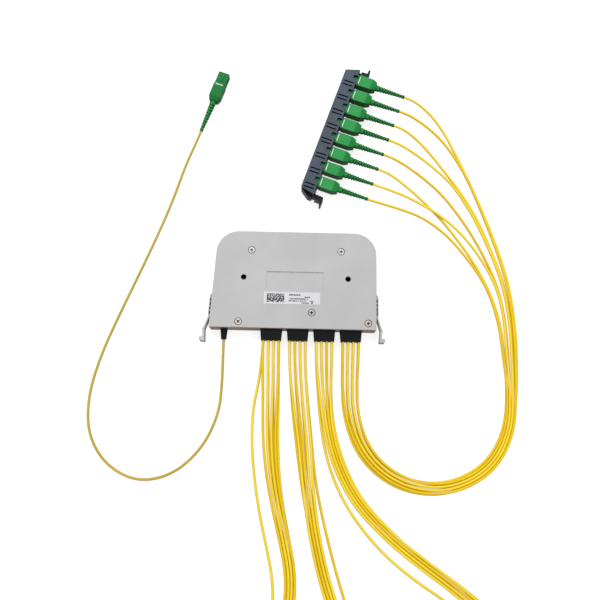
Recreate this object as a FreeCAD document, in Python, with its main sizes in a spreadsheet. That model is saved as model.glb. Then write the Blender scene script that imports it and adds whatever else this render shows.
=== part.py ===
"""Fibre splitter cassette: one input cord, four groups of eight output cords.

Millimetres. X runs along the cassette's cable face, Y points away from it and Z up. The
origin is the centre of the underside. A plug has a frame of its own: X along its axis
towards the cord, from the step in its grip, Y across the wide side, Z through the key.
"""
import FreeCAD, Part
import Sketcher
import math
import os
import re
from FreeCAD import Placement, Rotation, Vector

SIZES = {
    # cassette
    "cassette_width": 120.0,
    "cassette_depth": 74.0,
    "cassette_height": 12.5,
    "seam_height": 6.5,
    "rear_corner_radius": 17.0,
    "left_wall_lean": 3.2,
    "front_corner_radius": 1.2,
    "edge_radius": 0.7,
    "wall": 2.4,
    "floor_thickness": 1.6,
    "cover_thickness": 1.6,
    "inner_play": 0.1,
    # cover screws and their bosses
    "boss_radius": 2.8,
    "screw_radius": 1.3,
    "screw_clearance": 0.05,
    "screw_length": 9.0,
    "screw_head_radius": 2.45,
    "screw_head_height": 0.8,
    "screw_seat_clearance": 0.35,
    "screw_seat_depth": 0.9,
    "recess_cross_width": 0.8,
    "recess_cross_span": 2.6,
    "recess_cross_depth": 0.6,
    "rear_screw_x": 33.5,
    "rear_screw_y": 22.2,
    "middle_screw_x": 12.2,
    "middle_screw_y": -24.8,
    "left_screw_inset": 18.4,
    "left_screw_y": -32.4,
    "right_screw_inset": 6.1,
    "right_screw_y": -32.0,
    # mounting holes through both shells
    "mount_hole_radius": 1.9,
    "mount_tube_radius": 3.5,
    "mount_hole_x": 38.8,
    "mount_hole_y": 1.2,
    # nameplate recess and label
    "plate_width": 42.7,
    "plate_depth": 12.8,
    "plate_x": -0.6,
    "plate_y": -0.5,
    "plate_recess": 0.5,
    "label_width": 41.6,
    "label_depth": 9.1,
    "label_thickness": 0.12,
    "label_x": -2.5,
    "label_y": -14.2,
    # side latches
    "latch_height": 8.0,
    "latch_gap": 0.3,
    "latch_floor": 1.9,
    "pivot_inset": 0.4,
    "left_pivot_y": -13.9,
    "right_pivot_y": -11.6,
    "pivot_radius": 1.0,
    "pivot_clearance": 0.05,
    "barrel_radius": 1.8,
    "barrel_play": 0.4,
    "pivot_wall": 1.1,
    "strip_gap": 0.15,
    "strip_thickness": 1.5,
    "strip_length": 15.0,
    "strip_skin": 0.6,
    "cell_length": 2.4,
    "cell_pitch": 3.3,
    "arm_reach": 2.9,
    "arm_length": 10.0,
    "arm_thickness": 1.1,
    "finger_length": 9.0,
    "finger_thickness": 1.7,
    "hook_reach": 2.4,
    "finger_tuck": 0.8,
    "hook_thickness": 2.9,
    "swing_relief_depth": 1.5,
    "swing_relief_tail": 5.0,
    # boots on the cable face
    "boot_pitch": 19.55,
    "first_boot_x": -17.3,
    "boot_axis_height": 6.3,
    "boot_width": 16.2,
    "boot_height": 8.0,
    "boot_length": 8.0,
    "boot_end_width": 14.8,
    "boot_end_height": 7.2,
    "boot_corner": 0.8,
    "boot_neck_width": 14.0,
    "boot_neck_height": 6.4,
    "boot_clearance": 0.1,
    "flange_width": 17.2,
    "flange_height": 8.2,
    "flange_thickness": 1.5,
    "cord_column_pitch": 3.85,
    "cord_row_pitch": 3.2,
    "collar_height": 0.4,
    "collar_wall": 0.45,
    "input_boot_inset": 7.8,
    "input_boot_radius": 2.75,
    "input_boot_end_radius": 2.0,
    "input_neck_radius": 2.1,
    "input_flange_radius": 3.1,
    # splitter chip and its fibres
    "chip_length": 40.0,
    "chip_width": 7.0,
    "chip_height": 4.0,
    "chip_x": -12.0,
    "chip_y": 27.5,
    "chip_end_taper": 1.2,
    "chip_rail": 1.2,
    "chip_rail_length": 8.0,
    "chip_rail_height": 2.6,
    "fibre_radius": 0.45,
    "ribbon_thickness": 0.35,
    "ribbon_width": 2.2,
    "ribbon_pitch": 0.9,
    # plug
    "plug_front": 10.5,
    "plug_rear": 11.0,
    "plug_tail": 3.6,
    "front_width": 8.7,
    "front_height": 7.2,
    "grip_width": 9.3,
    "grip_height": 7.7,
    "tail_width": 6.7,
    "tail_height": 6.4,
    "grip_corner": 0.5,
    "grip_window_length": 4.2,
    "grip_window_height": 3.0,
    "grip_window_setback": 2.6,
    "key_width": 2.6,
    "key_height": 0.5,
    "key_length": 7.5,
    "grip_travel": 1.5,
    "body_width": 6.9,
    "body_height": 5.3,
    "body_play": 0.1,
    "body_setback": 0.5,
    "body_length": 20.0,
    "crimp_radius": 1.9,
    "crimp_length": 5.5,
    "ferrule_radius": 1.25,
    "ferrule_clearance": 0.03,
    "ferrule_length": 10.0,
    "ferrule_setback": 0.2,
    "ferrule_chamfer": 0.4,
    "nose_radius": 2.2,
    "nose_depth": 6.5,
    "sleeve_radius": 2.45,
    "sleeve_length": 5.0,
    "sleeve_play": 0.35,
    "sleeve_end_radius": 1.4,
    "sleeve_bore_clearance": 0.05,
    "relief_length": 22.0,
    "input_relief_extra": 3.0,
    "rib_depth": 0.45,
    "groove_length": 1.1,
    # plug holder
    "holder_pitch": 13.05,
    "holder_depth": 11.1,
    "holder_height": 13.2,
    "holder_margin": 5.45,
    "holder_end_wall": 3.3,
    "holder_end_slant": 3.5,
    "holder_face_gap": 1.4,
    "socket_clearance": 0.15,
    "socket_back": 1.4,
    "plug_axis_height": 6.6,
    "notch_width": 3.2,
    "notch_depth": 3.3,
    "slot_length": 8.2,
    "slot_width": 1.1,
    "slot_spacing": 3.0,
    "slot_depth": 2.0,
    "slot_setback": 1.3,
    "slot_offset": 7.0,
    "ear_reach": 7.5,
    "ear_projection": 7.2,
    "ear_height": 8.5,
    "ear_root": 3.2,
    "ear_notch_width": 2.6,
    "ear_notch_depth": 1.6,
    # cords
    "cord_diameter": 2.0,
}
COUNT_IN_GROUP = 8
GROUPS = 4

DOC = FreeCAD.newDocument("FibreSplitter")
SHEET = DOC.addObject("Spreadsheet::Sheet", "Sizes")
for row, (alias, number) in enumerate(SIZES.items(), start=1):
    SHEET.set(f"A{row}", alias)
    SHEET.set(f"B{row}", str(number))
    SHEET.setAlias(f"B{row}", alias)
DOC.recompute()


def bound(text):
    """The expression with every size named through the sheet."""
    return re.sub(r"[a-z_]{3,}", lambda m: f"Sizes.{m.group()}" if m.group() in SIZES else m.group(), text)


def value(text):
    """The number that an expression of sizes gives."""
    return float(SHEET.evalExpression(bound(text)))


# ---------------------------------------------------------------- sketches and features

CUTS = []


def new_body(label):
    body = DOC.addObject("PartDesign::Body", label)
    body.Label = label
    return body


def sketch_on(body, name, role, offset="0"):
    """A sketch on one of the body's own planes, moved along the plane's normal."""
    sketch = body.newObject("Sketcher::SketchObject", f"{body.Name}_{name}")
    plane = next(f for f in body.Origin.OriginFeatures if f.Role == role)
    sketch.AttachmentSupport = [(plane, "")]
    sketch.MapMode = "FlatFace"
    sketch.AttachmentOffset = Placement(Vector(0, 0, value(offset)), Rotation())
    sketch.setExpression("AttachmentOffset.Base.z", bound(offset))
    return sketch


def pin_point(sketch, curve, end, tag, x, y):
    """Holds one point of a curve at an expression each way, or one way only."""
    for kind, letter, text in (("DistanceX", "x", x), ("DistanceY", "y", y)):
        if text is None:
            continue
        index = sketch.addConstraint(Sketcher.Constraint(kind, -1, 1, curve, end, value(text)))
        sketch.renameConstraint(index, f"{tag}_{letter}")
        sketch.setExpression(f"Constraints.{tag}_{letter}", bound(text))


def add_polygon(sketch, tag, corners):
    """A closed outline whose corners are pairs of expressions."""
    numbers = [Vector(value(x), value(y), 0) for x, y in corners]
    first = sketch.GeometryCount
    for start, end in zip(numbers, numbers[1:] + numbers[:1]):
        sketch.addGeometry(Part.LineSegment(start, end), False)
    for i in range(len(corners)):
        after = first + (i + 1) % len(corners)
        sketch.addConstraint(Sketcher.Constraint("Coincident", first + i, 2, after, 1))
    for i, (x, y) in enumerate(corners):
        pin_point(sketch, first + i, 1, f"{tag}{i}", x, y)


def add_rectangle(sketch, tag, left, right, bottom, top):
    add_polygon(sketch, tag, [(left, bottom), (right, bottom), (right, top), (left, top)])


def add_rounded(sketch, tag, half_width, half_height, radius):
    """A centred rectangle with round corners."""
    w, t, r = value(half_width), value(half_height), value(radius)
    centres = [(r - w, r - t), (w - r, r - t), (w - r, t - r), (r - w, t - r)]
    arcs = []
    for index, (x, y) in enumerate(centres):
        start = math.pi * (1 + index / 2)
        circle = Part.Circle(Vector(x, y, 0), Vector(0, 0, 1), r)
        arcs.append(sketch.addGeometry(Part.ArcOfCircle(circle, start, start + math.pi / 2), False))
    for index, arc in enumerate(arcs):
        following = arcs[(index + 1) % 4]
        leave = sketch.getPoint(arc, 2)
        meet = sketch.getPoint(following, 1)
        line = sketch.addGeometry(Part.LineSegment(leave, meet), False)
        sketch.addConstraint(Sketcher.Constraint("Coincident", arc, 2, line, 1))
        sketch.addConstraint(Sketcher.Constraint("Coincident", line, 2, following, 1))
    in_x, in_y = f"({half_width} - {radius})", f"({half_height} - {radius})"
    signs = [("-", "-"), ("", "-"), ("", ""), ("-", "")]
    for index, (arc, (sx, sy)) in enumerate(zip(arcs, signs)):
        pin_point(sketch, arc, 3, f"{tag}_centre{index}_", sx + in_x, sy + in_y)
        tip = 1 if index % 2 else 2
        pin_point(sketch, arc, tip, f"{tag}_low{index}_", sx + in_x, f"{sy}{half_height}")
        tip = 2 if index % 2 else 1
        pin_point(sketch, arc, tip, f"{tag}_side{index}_", None, sy + in_y)


def add_circle(sketch, tag, x, y, radius):
    centre = Vector(value(x), value(y), 0)
    curve = sketch.addGeometry(Part.Circle(centre, Vector(0, 0, 1), value(radius)), False)
    index = sketch.addConstraint(Sketcher.Constraint("Radius", curve, value(radius)))
    sketch.renameConstraint(index, f"{tag}_r")
    sketch.setExpression(f"Constraints.{tag}_r", bound(radius))
    pin_point(sketch, curve, 3, tag, x, y)


def pad(body, sketch, length, backwards=False):
    feature = body.newObject("PartDesign::Pad", f"{sketch.Name}_pad")
    feature.Profile = sketch
    feature.Length = value(length)
    feature.setExpression("Length", bound(length))
    feature.Reversed = backwards
    sketch.Visibility = False
    return feature


def pocket(body, sketch, depth, forwards=False):
    """Cuts against the sketch's normal, or along it."""
    before = body.Tip
    feature = body.newObject("PartDesign::Pocket", f"{sketch.Name}_pocket")
    feature.Profile = sketch
    feature.Length = value(depth)
    feature.setExpression("Length", bound(depth))
    feature.Reversed = forwards
    CUTS.append((before, feature))
    return feature


def edges_where(body, test):
    """Names of the straight or round edges whose middle passes a test."""
    DOC.recompute()
    shape = body.Tip.Shape
    names = []
    for index, edge in enumerate(shape.Edges, start=1):
        middle = edge.valueAt((edge.FirstParameter + edge.LastParameter) / 2)
        if test(edge, middle):
            names.append(f"Edge{index}")
    return names


def upright(edge):
    """True for a straight edge along Z."""
    if not isinstance(edge.Curve, Part.Line):
        return False
    return abs(edge.Curve.Direction.z) > 0.99


def fillet(body, names, radius):
    base = body.Tip
    feature = body.newObject("PartDesign::Fillet", f"{body.Name}_fillet")
    feature.Base = (base, names)
    feature.Radius = value(radius)
    feature.setExpression("Radius", bound(radius))
    return feature


def chamfer(body, names, size):
    base = body.Tip
    feature = body.newObject("PartDesign::Chamfer", f"{body.Name}_chamfer")
    feature.Base = (base, names)
    feature.Size = value(size)
    feature.setExpression("Size", bound(size))
    return feature


# ---------------------------------------------------------------- cassette shells

HALF_X = "cassette_width / 2"
HALF_Y = "cassette_depth / 2"
CORNER_X = "(cassette_width / 2 - rear_corner_radius)"
CORNER_Y = "(cassette_depth / 2 - rear_corner_radius)"
PIVOT_X = "(cassette_width / 2 - pivot_inset)"
INPUT_BOOT_X = "(input_boot_inset - cassette_width / 2)"
SCREWS = [
    ("rear_left", "-rear_screw_x", "rear_screw_y"),
    ("rear_right", "rear_screw_x", "rear_screw_y"),
    ("middle", "middle_screw_x", "middle_screw_y"),
    ("front_left", "left_screw_inset - cassette_width / 2", "left_screw_y"),
    ("front_right", "cassette_width / 2 - right_screw_inset", "right_screw_y"),
]
MOUNT_HOLES = [("left", "-mount_hole_x"), ("right", "mount_hole_x")]
CEILING = "(cassette_height - cover_thickness)"
BARREL_POCKET = "(barrel_radius + barrel_play)"
PIVOTS = {"left": "left_pivot_y", "right": "right_pivot_y"}


def boot_x(number):
    return f"(first_boot_x + {number - 1} * boot_pitch)"


def beside(side, out, y):
    """A place near a side wall, at a distance out from the middle; the left one leans with its wall."""
    if side == "right":
        return out, y
    across = f"({CORNER_X} - ({out}))"
    along = f"(({y}) - {CORNER_Y})"
    leaned_x = f"(-{CORNER_X} + {across} * cos(left_wall_lean) + {along} * sin(left_wall_lean))"
    leaned_y = f"({CORNER_Y} + {along} * cos(left_wall_lean) - {across} * sin(left_wall_lean))"
    return leaned_x, leaned_y


def add_case_outline(sketch, tag, margin):
    """The cassette at a margin inside its walls: two large rear corners and a leaning left wall."""
    side = f"(cassette_width / 2 - {margin})"
    end = f"(cassette_depth / 2 - {margin})"
    touch_x, touch_y = beside("left", side, CORNER_Y)
    front_left = f"({touch_x} - ({touch_y} + {end}) * tan(left_wall_lean))"
    x, y, cx, cy = (value(text) for text in (side, end, CORNER_X, CORNER_Y))
    corner, touch = (value(front_left), -y), (value(touch_x), value(touch_y))
    front, right, rear, left = (sketch.addGeometry(Part.LineSegment(Vector(*a, 0), Vector(*b, 0)), False)
                                for a, b in ((corner, (x, -y)), ((x, -y), (x, cy)),
                                             ((cx, y), (-cx, y)), (touch, corner)))
    up = Vector(0, 0, 1)
    quarter = math.pi / 2
    radius = value(f"rear_corner_radius - {margin}")
    lean = math.radians(value("left_wall_lean"))
    right_arc = sketch.addGeometry(Part.ArcOfCircle(Part.Circle(Vector(cx, cy, 0), up, radius), 0, quarter))
    left_arc = sketch.addGeometry(
        Part.ArcOfCircle(Part.Circle(Vector(-cx, cy, 0), up, radius), quarter, 2 * quarter - lean))
    joints = [(front, 2, right, 1), (right, 2, right_arc, 1), (right_arc, 2, rear, 1),
              (rear, 2, left_arc, 1), (left_arc, 2, left, 1), (left, 2, front, 1)]
    for joint in joints:
        sketch.addConstraint(Sketcher.Constraint("Coincident", *joint))
    pin_point(sketch, front, 1, f"{tag}_front_left", front_left, f"-{end}")
    pin_point(sketch, front, 2, f"{tag}_front_right", side, f"-{end}")
    pin_point(sketch, right, 2, f"{tag}_right", side, CORNER_Y)
    pin_point(sketch, rear, 2, f"{tag}_rear", f"-{CORNER_X}", end)
    pin_point(sketch, right_arc, 3, f"{tag}_right_centre", CORNER_X, CORNER_Y)
    pin_point(sketch, left_arc, 3, f"{tag}_left_centre", f"-{CORNER_X}", CORNER_Y)
    pin_point(sketch, right_arc, 2, f"{tag}_right_end", CORNER_X, None)
    pin_point(sketch, left_arc, 2, f"{tag}_left_end", None, touch_y)


def shell_block(body, low, height):
    """The outline with its rounded corners, as a solid slab."""
    outline = sketch_on(body, "outline", "XY_Plane", low)
    add_case_outline(outline, "outline", "0")
    pad(body, outline, height)

    def at_front_corner(edge, middle):
        return upright(edge) and middle.y < value("edge_radius - cassette_depth / 2")

    fillet(body, edges_where(body, at_front_corner), "front_corner_radius")


def hollow(body, plane_height, depth, forwards, name, margin):
    """Takes out a cavity that follows the outline at a margin inside it."""
    sketch = sketch_on(body, name, "XY_Plane", plane_height)
    add_case_outline(sketch, name, margin)
    pocket(body, sketch, depth, forwards)


def side_blocks(body, low, height):
    """Thickens the side walls round the latch pivots."""
    reach = f"({BARREL_POCKET} + pivot_wall)"
    inner, outer = f"{PIVOT_X} - {reach}", f"{HALF_X} - wall / 2"
    for side, pivot_y in PIVOTS.items():
        sketch = sketch_on(body, f"{side}_pivot_block", "XY_Plane", low)
        near, far = f"{pivot_y} - {reach}", f"{pivot_y} + {reach}"
        corners = ((inner, near), (outer, near), (outer, far), (inner, far))
        add_polygon(sketch, "block", [beside(side, x, y) for x, y in corners])
        pad(body, sketch, height)


def latch_relief(body, low, depth, forwards):
    """Cuts the pivot pockets and the wedges that the latches swing into."""
    outside = f"{HALF_X} + 1"
    deep = f"{HALF_X} - swing_relief_depth"
    for side, pivot_y in PIVOTS.items():
        barrel = sketch_on(body, f"{side}_barrel_pocket", "XY_Plane", low)
        add_circle(barrel, "barrel", *beside(side, PIVOT_X, pivot_y), BARREL_POCKET)
        pocket(body, barrel, depth, forwards)
        wedge = sketch_on(body, f"{side}_swing_relief", "XY_Plane", low)
        corners = [
            (outside, f"{pivot_y} - barrel_radius"),
            (f"{HALF_X} - strip_gap", f"{pivot_y} - barrel_radius"),
            (deep, f"{pivot_y} - strip_length"),
            (deep, f"{pivot_y} - strip_length - swing_relief_tail"),
            (outside, f"{pivot_y} - strip_length - 1.6 * swing_relief_tail"),
        ]
        add_polygon(wedge, "wedge", [beside(side, x, y) for x, y in corners])
        pocket(body, wedge, depth, forwards)


def boot_slots(body, floor, depth, forwards):
    """Opens the cable face round the necks of the boots."""
    slots = sketch_on(body, "boot_slots", "XY_Plane", floor)
    half = "(boot_neck_width / 2 + boot_clearance)"
    front = f"-{HALF_Y} - 1"
    back = f"-{HALF_Y} + wall + 0.5"
    for number in range(1, GROUPS + 1):
        x = boot_x(number)
        add_rectangle(slots, f"slot{number}_", f"{x} - {half}", f"{x} + {half}", front, back)
    pocket(body, slots, depth, forwards)


def input_slot(body, floor, depth, forwards):
    slot = sketch_on(body, "input_slot", "XY_Plane", floor)
    half = "(input_neck_radius + boot_clearance)"
    front = f"-{HALF_Y} - 1"
    back = f"-{HALF_Y} + wall + 0.5"
    add_rectangle(slot, "slot", f"{INPUT_BOOT_X} - {half}", f"{INPUT_BOOT_X} + {half}", front, back)
    pocket(body, slot, depth, forwards)


def posts(body, name, places, radius, low, height):
    sketch = sketch_on(body, name, "XY_Plane", low)
    for index, (x, y) in enumerate(places):
        add_circle(sketch, f"post{index}_", x, y, radius)
    pad(body, sketch, height)


def bores(body, name, places, radius, low, depth, forwards):
    sketch = sketch_on(body, name, "XY_Plane", low)
    for index, (x, y) in enumerate(places):
        add_circle(sketch, f"bore{index}_", x, y, radius)
    pocket(body, sketch, depth, forwards)


def cassette_base():
    """Lower shell with its screw bosses, mounting tubes, chip rails and latch pivots."""
    body = new_body("cassette_base")
    shell_block(body, "0", "seam_height")
    hollow(body, "seam_height", "seam_height - floor_thickness", False, "cavity", "wall")
    side_blocks(body, "floor_thickness / 2", "seam_height - floor_thickness / 2")
    screw_places = [(x, y) for _, x, y in SCREWS]
    hole_places = [(x, "mount_hole_y") for _, x in MOUNT_HOLES]
    rise = f"{CEILING} - floor_thickness / 2"
    posts(body, "bosses", screw_places, "boss_radius", "floor_thickness / 2", rise)
    posts(body, "mount_tubes", hole_places, "mount_tube_radius", "floor_thickness / 2", rise)
    chip_rails(body)
    latch_relief(body, "latch_floor", "cassette_height", True)
    pins = [beside(side, PIVOT_X, pivot_y) for side, pivot_y in PIVOTS.items()]
    pin_rise = "latch_floor / 2 + latch_height + 2 * latch_gap"
    posts(body, "latch_pins", pins, "pivot_radius", "latch_floor / 2", pin_rise)
    slot_floor = "boot_axis_height - boot_neck_height / 2 - boot_clearance"
    boot_slots(body, slot_floor, "cassette_height", True)
    input_slot(body, "boot_axis_height - input_neck_radius - boot_clearance", "cassette_height", True)
    pilot_depth = "screw_length - cover_thickness + screw_seat_depth + 2 * screw_clearance"
    bores(body, "pilots", screw_places, "screw_radius + screw_clearance", CEILING, pilot_depth, False)
    bores(body, "mount_bores", hole_places, "mount_hole_radius", CEILING, "cassette_height", False)
    outer = edges_where(body, lambda e, m: m.z < 0.01 and abs(m.x) > value("mount_hole_x") + 5
                        or m.z < 0.01 and abs(m.y) > value(HALF_Y) - 0.01)
    fillet(body, outer, "edge_radius")
    return body


def chip_rails(body):
    """Two pairs of short rails that hold the splitter chip on the floor."""
    sketch = sketch_on(body, "chip_rails", "XY_Plane", "floor_thickness / 2")
    near = "(chip_width / 2 + inner_play)"
    far = "(chip_width / 2 + inner_play + chip_rail)"
    for index, offset in enumerate(("-chip_length / 4", "chip_length / 4")):
        left = f"chip_x + {offset} - chip_rail_length / 2"
        right = f"chip_x + {offset} + chip_rail_length / 2"
        add_rectangle(sketch, f"rear{index}_", left, right, f"chip_y + {near}", f"chip_y + {far}")
        add_rectangle(sketch, f"fore{index}_", left, right, f"chip_y - {far}", f"chip_y - {near}")
    pad(body, sketch, "chip_rail_height + floor_thickness / 2")


def cassette_cover():
    """Upper shell with screw seats and the nameplate recess."""
    body = new_body("cassette_cover")
    shell_block(body, "seam_height", "cassette_height - seam_height")
    hollow(body, "seam_height", f"{CEILING} - seam_height", True, "cavity", "wall")
    side_blocks(body, "seam_height", f"{CEILING} - seam_height + cover_thickness / 2")
    boot_slots(body, "seam_height", "boot_axis_height + boot_neck_height / 2 + boot_clearance - seam_height",
               True)
    input_slot(body, "seam_height", "boot_axis_height + input_neck_radius + boot_clearance - seam_height",
               True)
    latch_relief(body, "seam_height", "latch_floor + latch_height + 2 * latch_gap - seam_height + 0.1", True)
    screw_places = [(x, y) for _, x, y in SCREWS]
    hole_places = [(x, "mount_hole_y") for _, x in MOUNT_HOLES]
    wall_places = screw_places[3:]
    bores(body, "boss_reliefs", wall_places, "boss_radius + inner_play", "seam_height",
          f"{CEILING} - seam_height", True)
    bores(body, "screw_holes", screw_places, "screw_radius + screw_clearance", "cassette_height",
          "cover_thickness + inner_play", False)
    bores(body, "screw_seats", screw_places, "screw_head_radius + screw_seat_clearance", "cassette_height",
          "screw_seat_depth", False)
    bores(body, "mount_bores", hole_places, "mount_hole_radius", "cassette_height",
          "cover_thickness + inner_play", False)
    plate = sketch_on(body, "nameplate", "XY_Plane", "cassette_height")
    add_rectangle(plate, "plate", "plate_x - plate_width / 2", "plate_x + plate_width / 2",
                  "plate_y - plate_depth / 2", "plate_y + plate_depth / 2")
    pocket(body, plate, "plate_recess")
    top = value("cassette_height")
    slab = Part.makeBox(value("cassette_width - 0.1"), value("cassette_depth - 0.1"), 1.0,
                        Vector(value(f"0.05 - {HALF_X}"), value(f"0.05 - {HALF_Y}"), top - 0.5))

    def on_rim(edge, middle):
        if abs(middle.z - top) > 0.01:
            return False
        if isinstance(edge.Curve, Part.Circle) and edge.Curve.Radius > value("rear_corner_radius - wall"):
            return True
        return not slab.isInside(middle, 0.001, True)

    fillet(body, edges_where(body, on_rim), "edge_radius")
    return body


def label():
    box = DOC.addObject("Part::Box", "label")
    box.Label = "label"
    for name, text in (("Length", "label_width"), ("Width", "label_depth"), ("Height", "label_thickness"),
                       ("Placement.Base.x", "label_x - label_width / 2"),
                       ("Placement.Base.y", "label_y - label_depth / 2"),
                       ("Placement.Base.z", "cassette_height")):
        box.setExpression(name, bound(text))
    return box


def one_screw():
    """A pan head with a cross recess on a plain shank, its head's underside at Z = 0."""
    head_radius = value("screw_head_radius")
    head_height = value("screw_head_height")
    head = Part.makeCylinder(head_radius, head_height)
    rim = [edge for edge in head.Edges if edge.Length > 6 and edge.BoundBox.ZMin > head_height / 2]
    head = head.makeFillet(head_height * 0.6, rim)
    shank = Part.makeCylinder(value("screw_radius"), value("screw_length"), Vector(), Vector(0, 0, -1))
    screw = head.fuse(shank)
    depth = value("recess_cross_depth")
    long, narrow = value("recess_cross_span"), value("recess_cross_width")
    for length, width in ((long, narrow), (narrow, long)):
        corner = Vector(-length / 2, -width / 2, head_height - depth)
        screw = screw.cut(Part.makeBox(length, width, depth + 1, corner))
    return screw


def cover_screws():
    screw = one_screw()
    seat = value("cassette_height - screw_seat_depth")
    copies = []
    for index, (_, x, y) in enumerate(SCREWS):
        turned = screw.rotated(Vector(), Vector(0, 0, 1), 35.0 * index)
        copies.append(turned.translated(Vector(value(x), value(y), seat)))
    return solid_node("cover_screws", Part.makeCompound(copies))


def solid_node(label, shape, placement=None):
    """A node whose shape the sheet's sizes set through this file's own code."""
    node = DOC.addObject("Part::Feature", label)
    node.Label = label
    node.Shape = shape
    if placement:
        node.Placement = placement
    return node


# ---------------------------------------------------------------- latches

STRIP_IN = "(cassette_width / 2 + strip_gap)"
STRIP_OUT = "(cassette_width / 2 + strip_gap + strip_thickness)"
FINGER_IN = "(cassette_width / 2 + strip_gap + arm_reach)"
FINGER_OUT = "(cassette_width / 2 + strip_gap + arm_reach + finger_thickness)"
FINGER_TIP = "(cassette_width / 2 + strip_gap + arm_reach + finger_thickness + hook_reach - finger_tuck)"
CELLS = 4


def latch(side):
    """A sprung side latch: pivot barrel, celled strip, thin arm and hooked finger."""
    sign = "-" if side == "left" else ""
    pivot_y = PIVOTS[side]
    strip_end = f"({pivot_y} - strip_length)"
    finger_top = f"({pivot_y} - strip_length - arm_length)"
    finger_end = f"({pivot_y} - strip_length - arm_length - finger_length)"
    body = new_body(f"{side}_latch")
    low = "latch_floor + latch_gap"
    barrel = sketch_on(body, "barrel", "XY_Plane", low)
    add_circle(barrel, "barrel", f"{sign}{PIVOT_X}", pivot_y, "barrel_radius")
    pad(body, barrel, "latch_height")
    lever = sketch_on(body, "lever", "XY_Plane", low)
    profile = [
        (STRIP_IN, pivot_y),
        (STRIP_IN, strip_end),
        (FINGER_IN, finger_top),
        (f"({FINGER_IN} - finger_tuck)", finger_end),
        (FINGER_TIP, finger_end),
        (FINGER_TIP, f"{finger_end} + hook_thickness"),
        (f"({FINGER_OUT} - finger_tuck)", f"{finger_end} + hook_thickness"),
        (FINGER_OUT, finger_top),
        (f"({FINGER_IN} + arm_thickness)", f"{finger_top} + arm_thickness / 2"),
        (f"({STRIP_IN} + arm_thickness)", f"{strip_end} - arm_thickness / 2"),
        (STRIP_OUT, strip_end),
        (STRIP_OUT, pivot_y),
    ]
    add_polygon(lever, "lever", [(f"{sign}{x}", y) for x, y in profile])
    pad(body, lever, "latch_height")
    cells = sketch_on(body, "cells", "XY_Plane", f"{low} + latch_height")
    for index in range(CELLS):
        top = f"({pivot_y} - barrel_radius - {index} * cell_pitch)"
        inner, outer = f"{sign}({STRIP_IN} - 1)", f"{sign}({STRIP_OUT} - strip_skin)"
        left, right = (outer, inner) if sign else (inner, outer)
        add_rectangle(cells, f"cell{index}_", left, right, f"{top} - cell_length", top)
    pocket(body, cells, "latch_height - 1.2 * arm_thickness")
    bore = sketch_on(body, "bore", "XY_Plane", low)
    add_circle(bore, "bore", f"{sign}{PIVOT_X}", pivot_y, "pivot_radius + pivot_clearance")
    pocket(body, bore, "latch_height", True)
    tip_x = value(FINGER_TIP)
    tip = edges_where(body, lambda e, m: upright(e) and abs(m.x) > tip_x - 0.01)
    fillet(body, tip, "arm_thickness / 2")
    if side == "left":
        corner = Vector(-value(CORNER_X), value(CORNER_Y), 0)
        lean = Rotation(Vector(0, 0, 1), -value("left_wall_lean"))
        body.Placement = Placement(Vector(), lean, corner)
    return body


# ---------------------------------------------------------------- boots on the cable face

def output_boot(number):
    """A moulded block for eight cords, its flange behind the wall and its neck in the slot."""
    body = new_body(f"output_boot_{number}")
    x, z = boot_x(number), "boot_axis_height"

    def section(name, y, width, height):
        sketch = sketch_on(body, name, "XZ_Plane", f"-({y})")
        add_rectangle(sketch, name, f"{x} - {width} / 2", f"{x} + {width} / 2",
                      f"{z} - {height} / 2", f"{z} + {height} / 2")
        return sketch

    face = f"-{HALF_Y}"
    pad(body, section("neck", face, "boot_neck_width", "boot_neck_height"), "wall + boot_clearance", True)
    pad(body, section("flange", f"{face} + wall + boot_clearance", "flange_width", "flange_height"),
        "flange_thickness", True)
    loft = body.newObject("PartDesign::AdditiveLoft", f"{body.Name}_block")
    loft.Profile = section("root", face, "boot_width", "boot_height")
    loft.Sections = [section("tip", f"{face} - boot_length", "boot_end_width", "boot_end_height")]
    loft.Ruled = True
    middle_y = value(f"{face} - boot_length / 2")
    corners = edges_where(body, lambda e, m: abs(m.y - middle_y) < 0.01)
    fillet(body, corners, "boot_corner")
    collars = sketch_on(body, "collars", "XZ_Plane", f"-({face} - boot_length)")
    for column in range(4):
        for row in range(2):
            add_circle(collars, f"collar{column}{row}_", f"{x} + {column - 1.5} * cord_column_pitch",
                       f"{z} + {row - 0.5} * cord_row_pitch", "cord_diameter / 2 + collar_wall")
    pad(body, collars, "collar_height")
    return body


def input_boot():
    body = new_body("input_boot")
    profile = sketch_on(body, "profile", "XY_Plane")
    tip = f"-{HALF_Y} - boot_length"
    inner = f"-{HALF_Y} + wall + boot_clearance"
    add_polygon(profile, "profile", [
        ("0", tip),
        ("input_boot_end_radius", tip),
        ("input_boot_radius", f"-{HALF_Y}"),
        ("input_neck_radius", f"-{HALF_Y}"),
        ("input_neck_radius", inner),
        ("input_flange_radius", inner),
        ("input_flange_radius", f"{inner} + flange_thickness"),
        ("0", f"{inner} + flange_thickness"),
    ])
    turn = body.newObject("PartDesign::Revolution", "input_boot_turn")
    turn.Profile = profile
    turn.ReferenceAxis = (profile, ["V_Axis"])
    turn.Angle = 360.0
    body.setExpression("Placement.Base.x", bound(INPUT_BOOT_X))
    body.setExpression("Placement.Base.z", bound("boot_axis_height"))
    return body


# ---------------------------------------------------------------- inside the cassette

def splitter_chip():
    body = new_body("splitter_chip")
    outline = sketch_on(body, "outline", "XY_Plane", "floor_thickness")
    add_rectangle(outline, "outline", "chip_x - chip_length / 2", "chip_x + chip_length / 2",
                  "chip_y - chip_width / 2", "chip_y + chip_width / 2")
    pad(body, outline, "chip_height")
    chamfer(body, edges_where(body, lambda e, m: upright(e)), "chip_end_taper")
    return body


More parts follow.
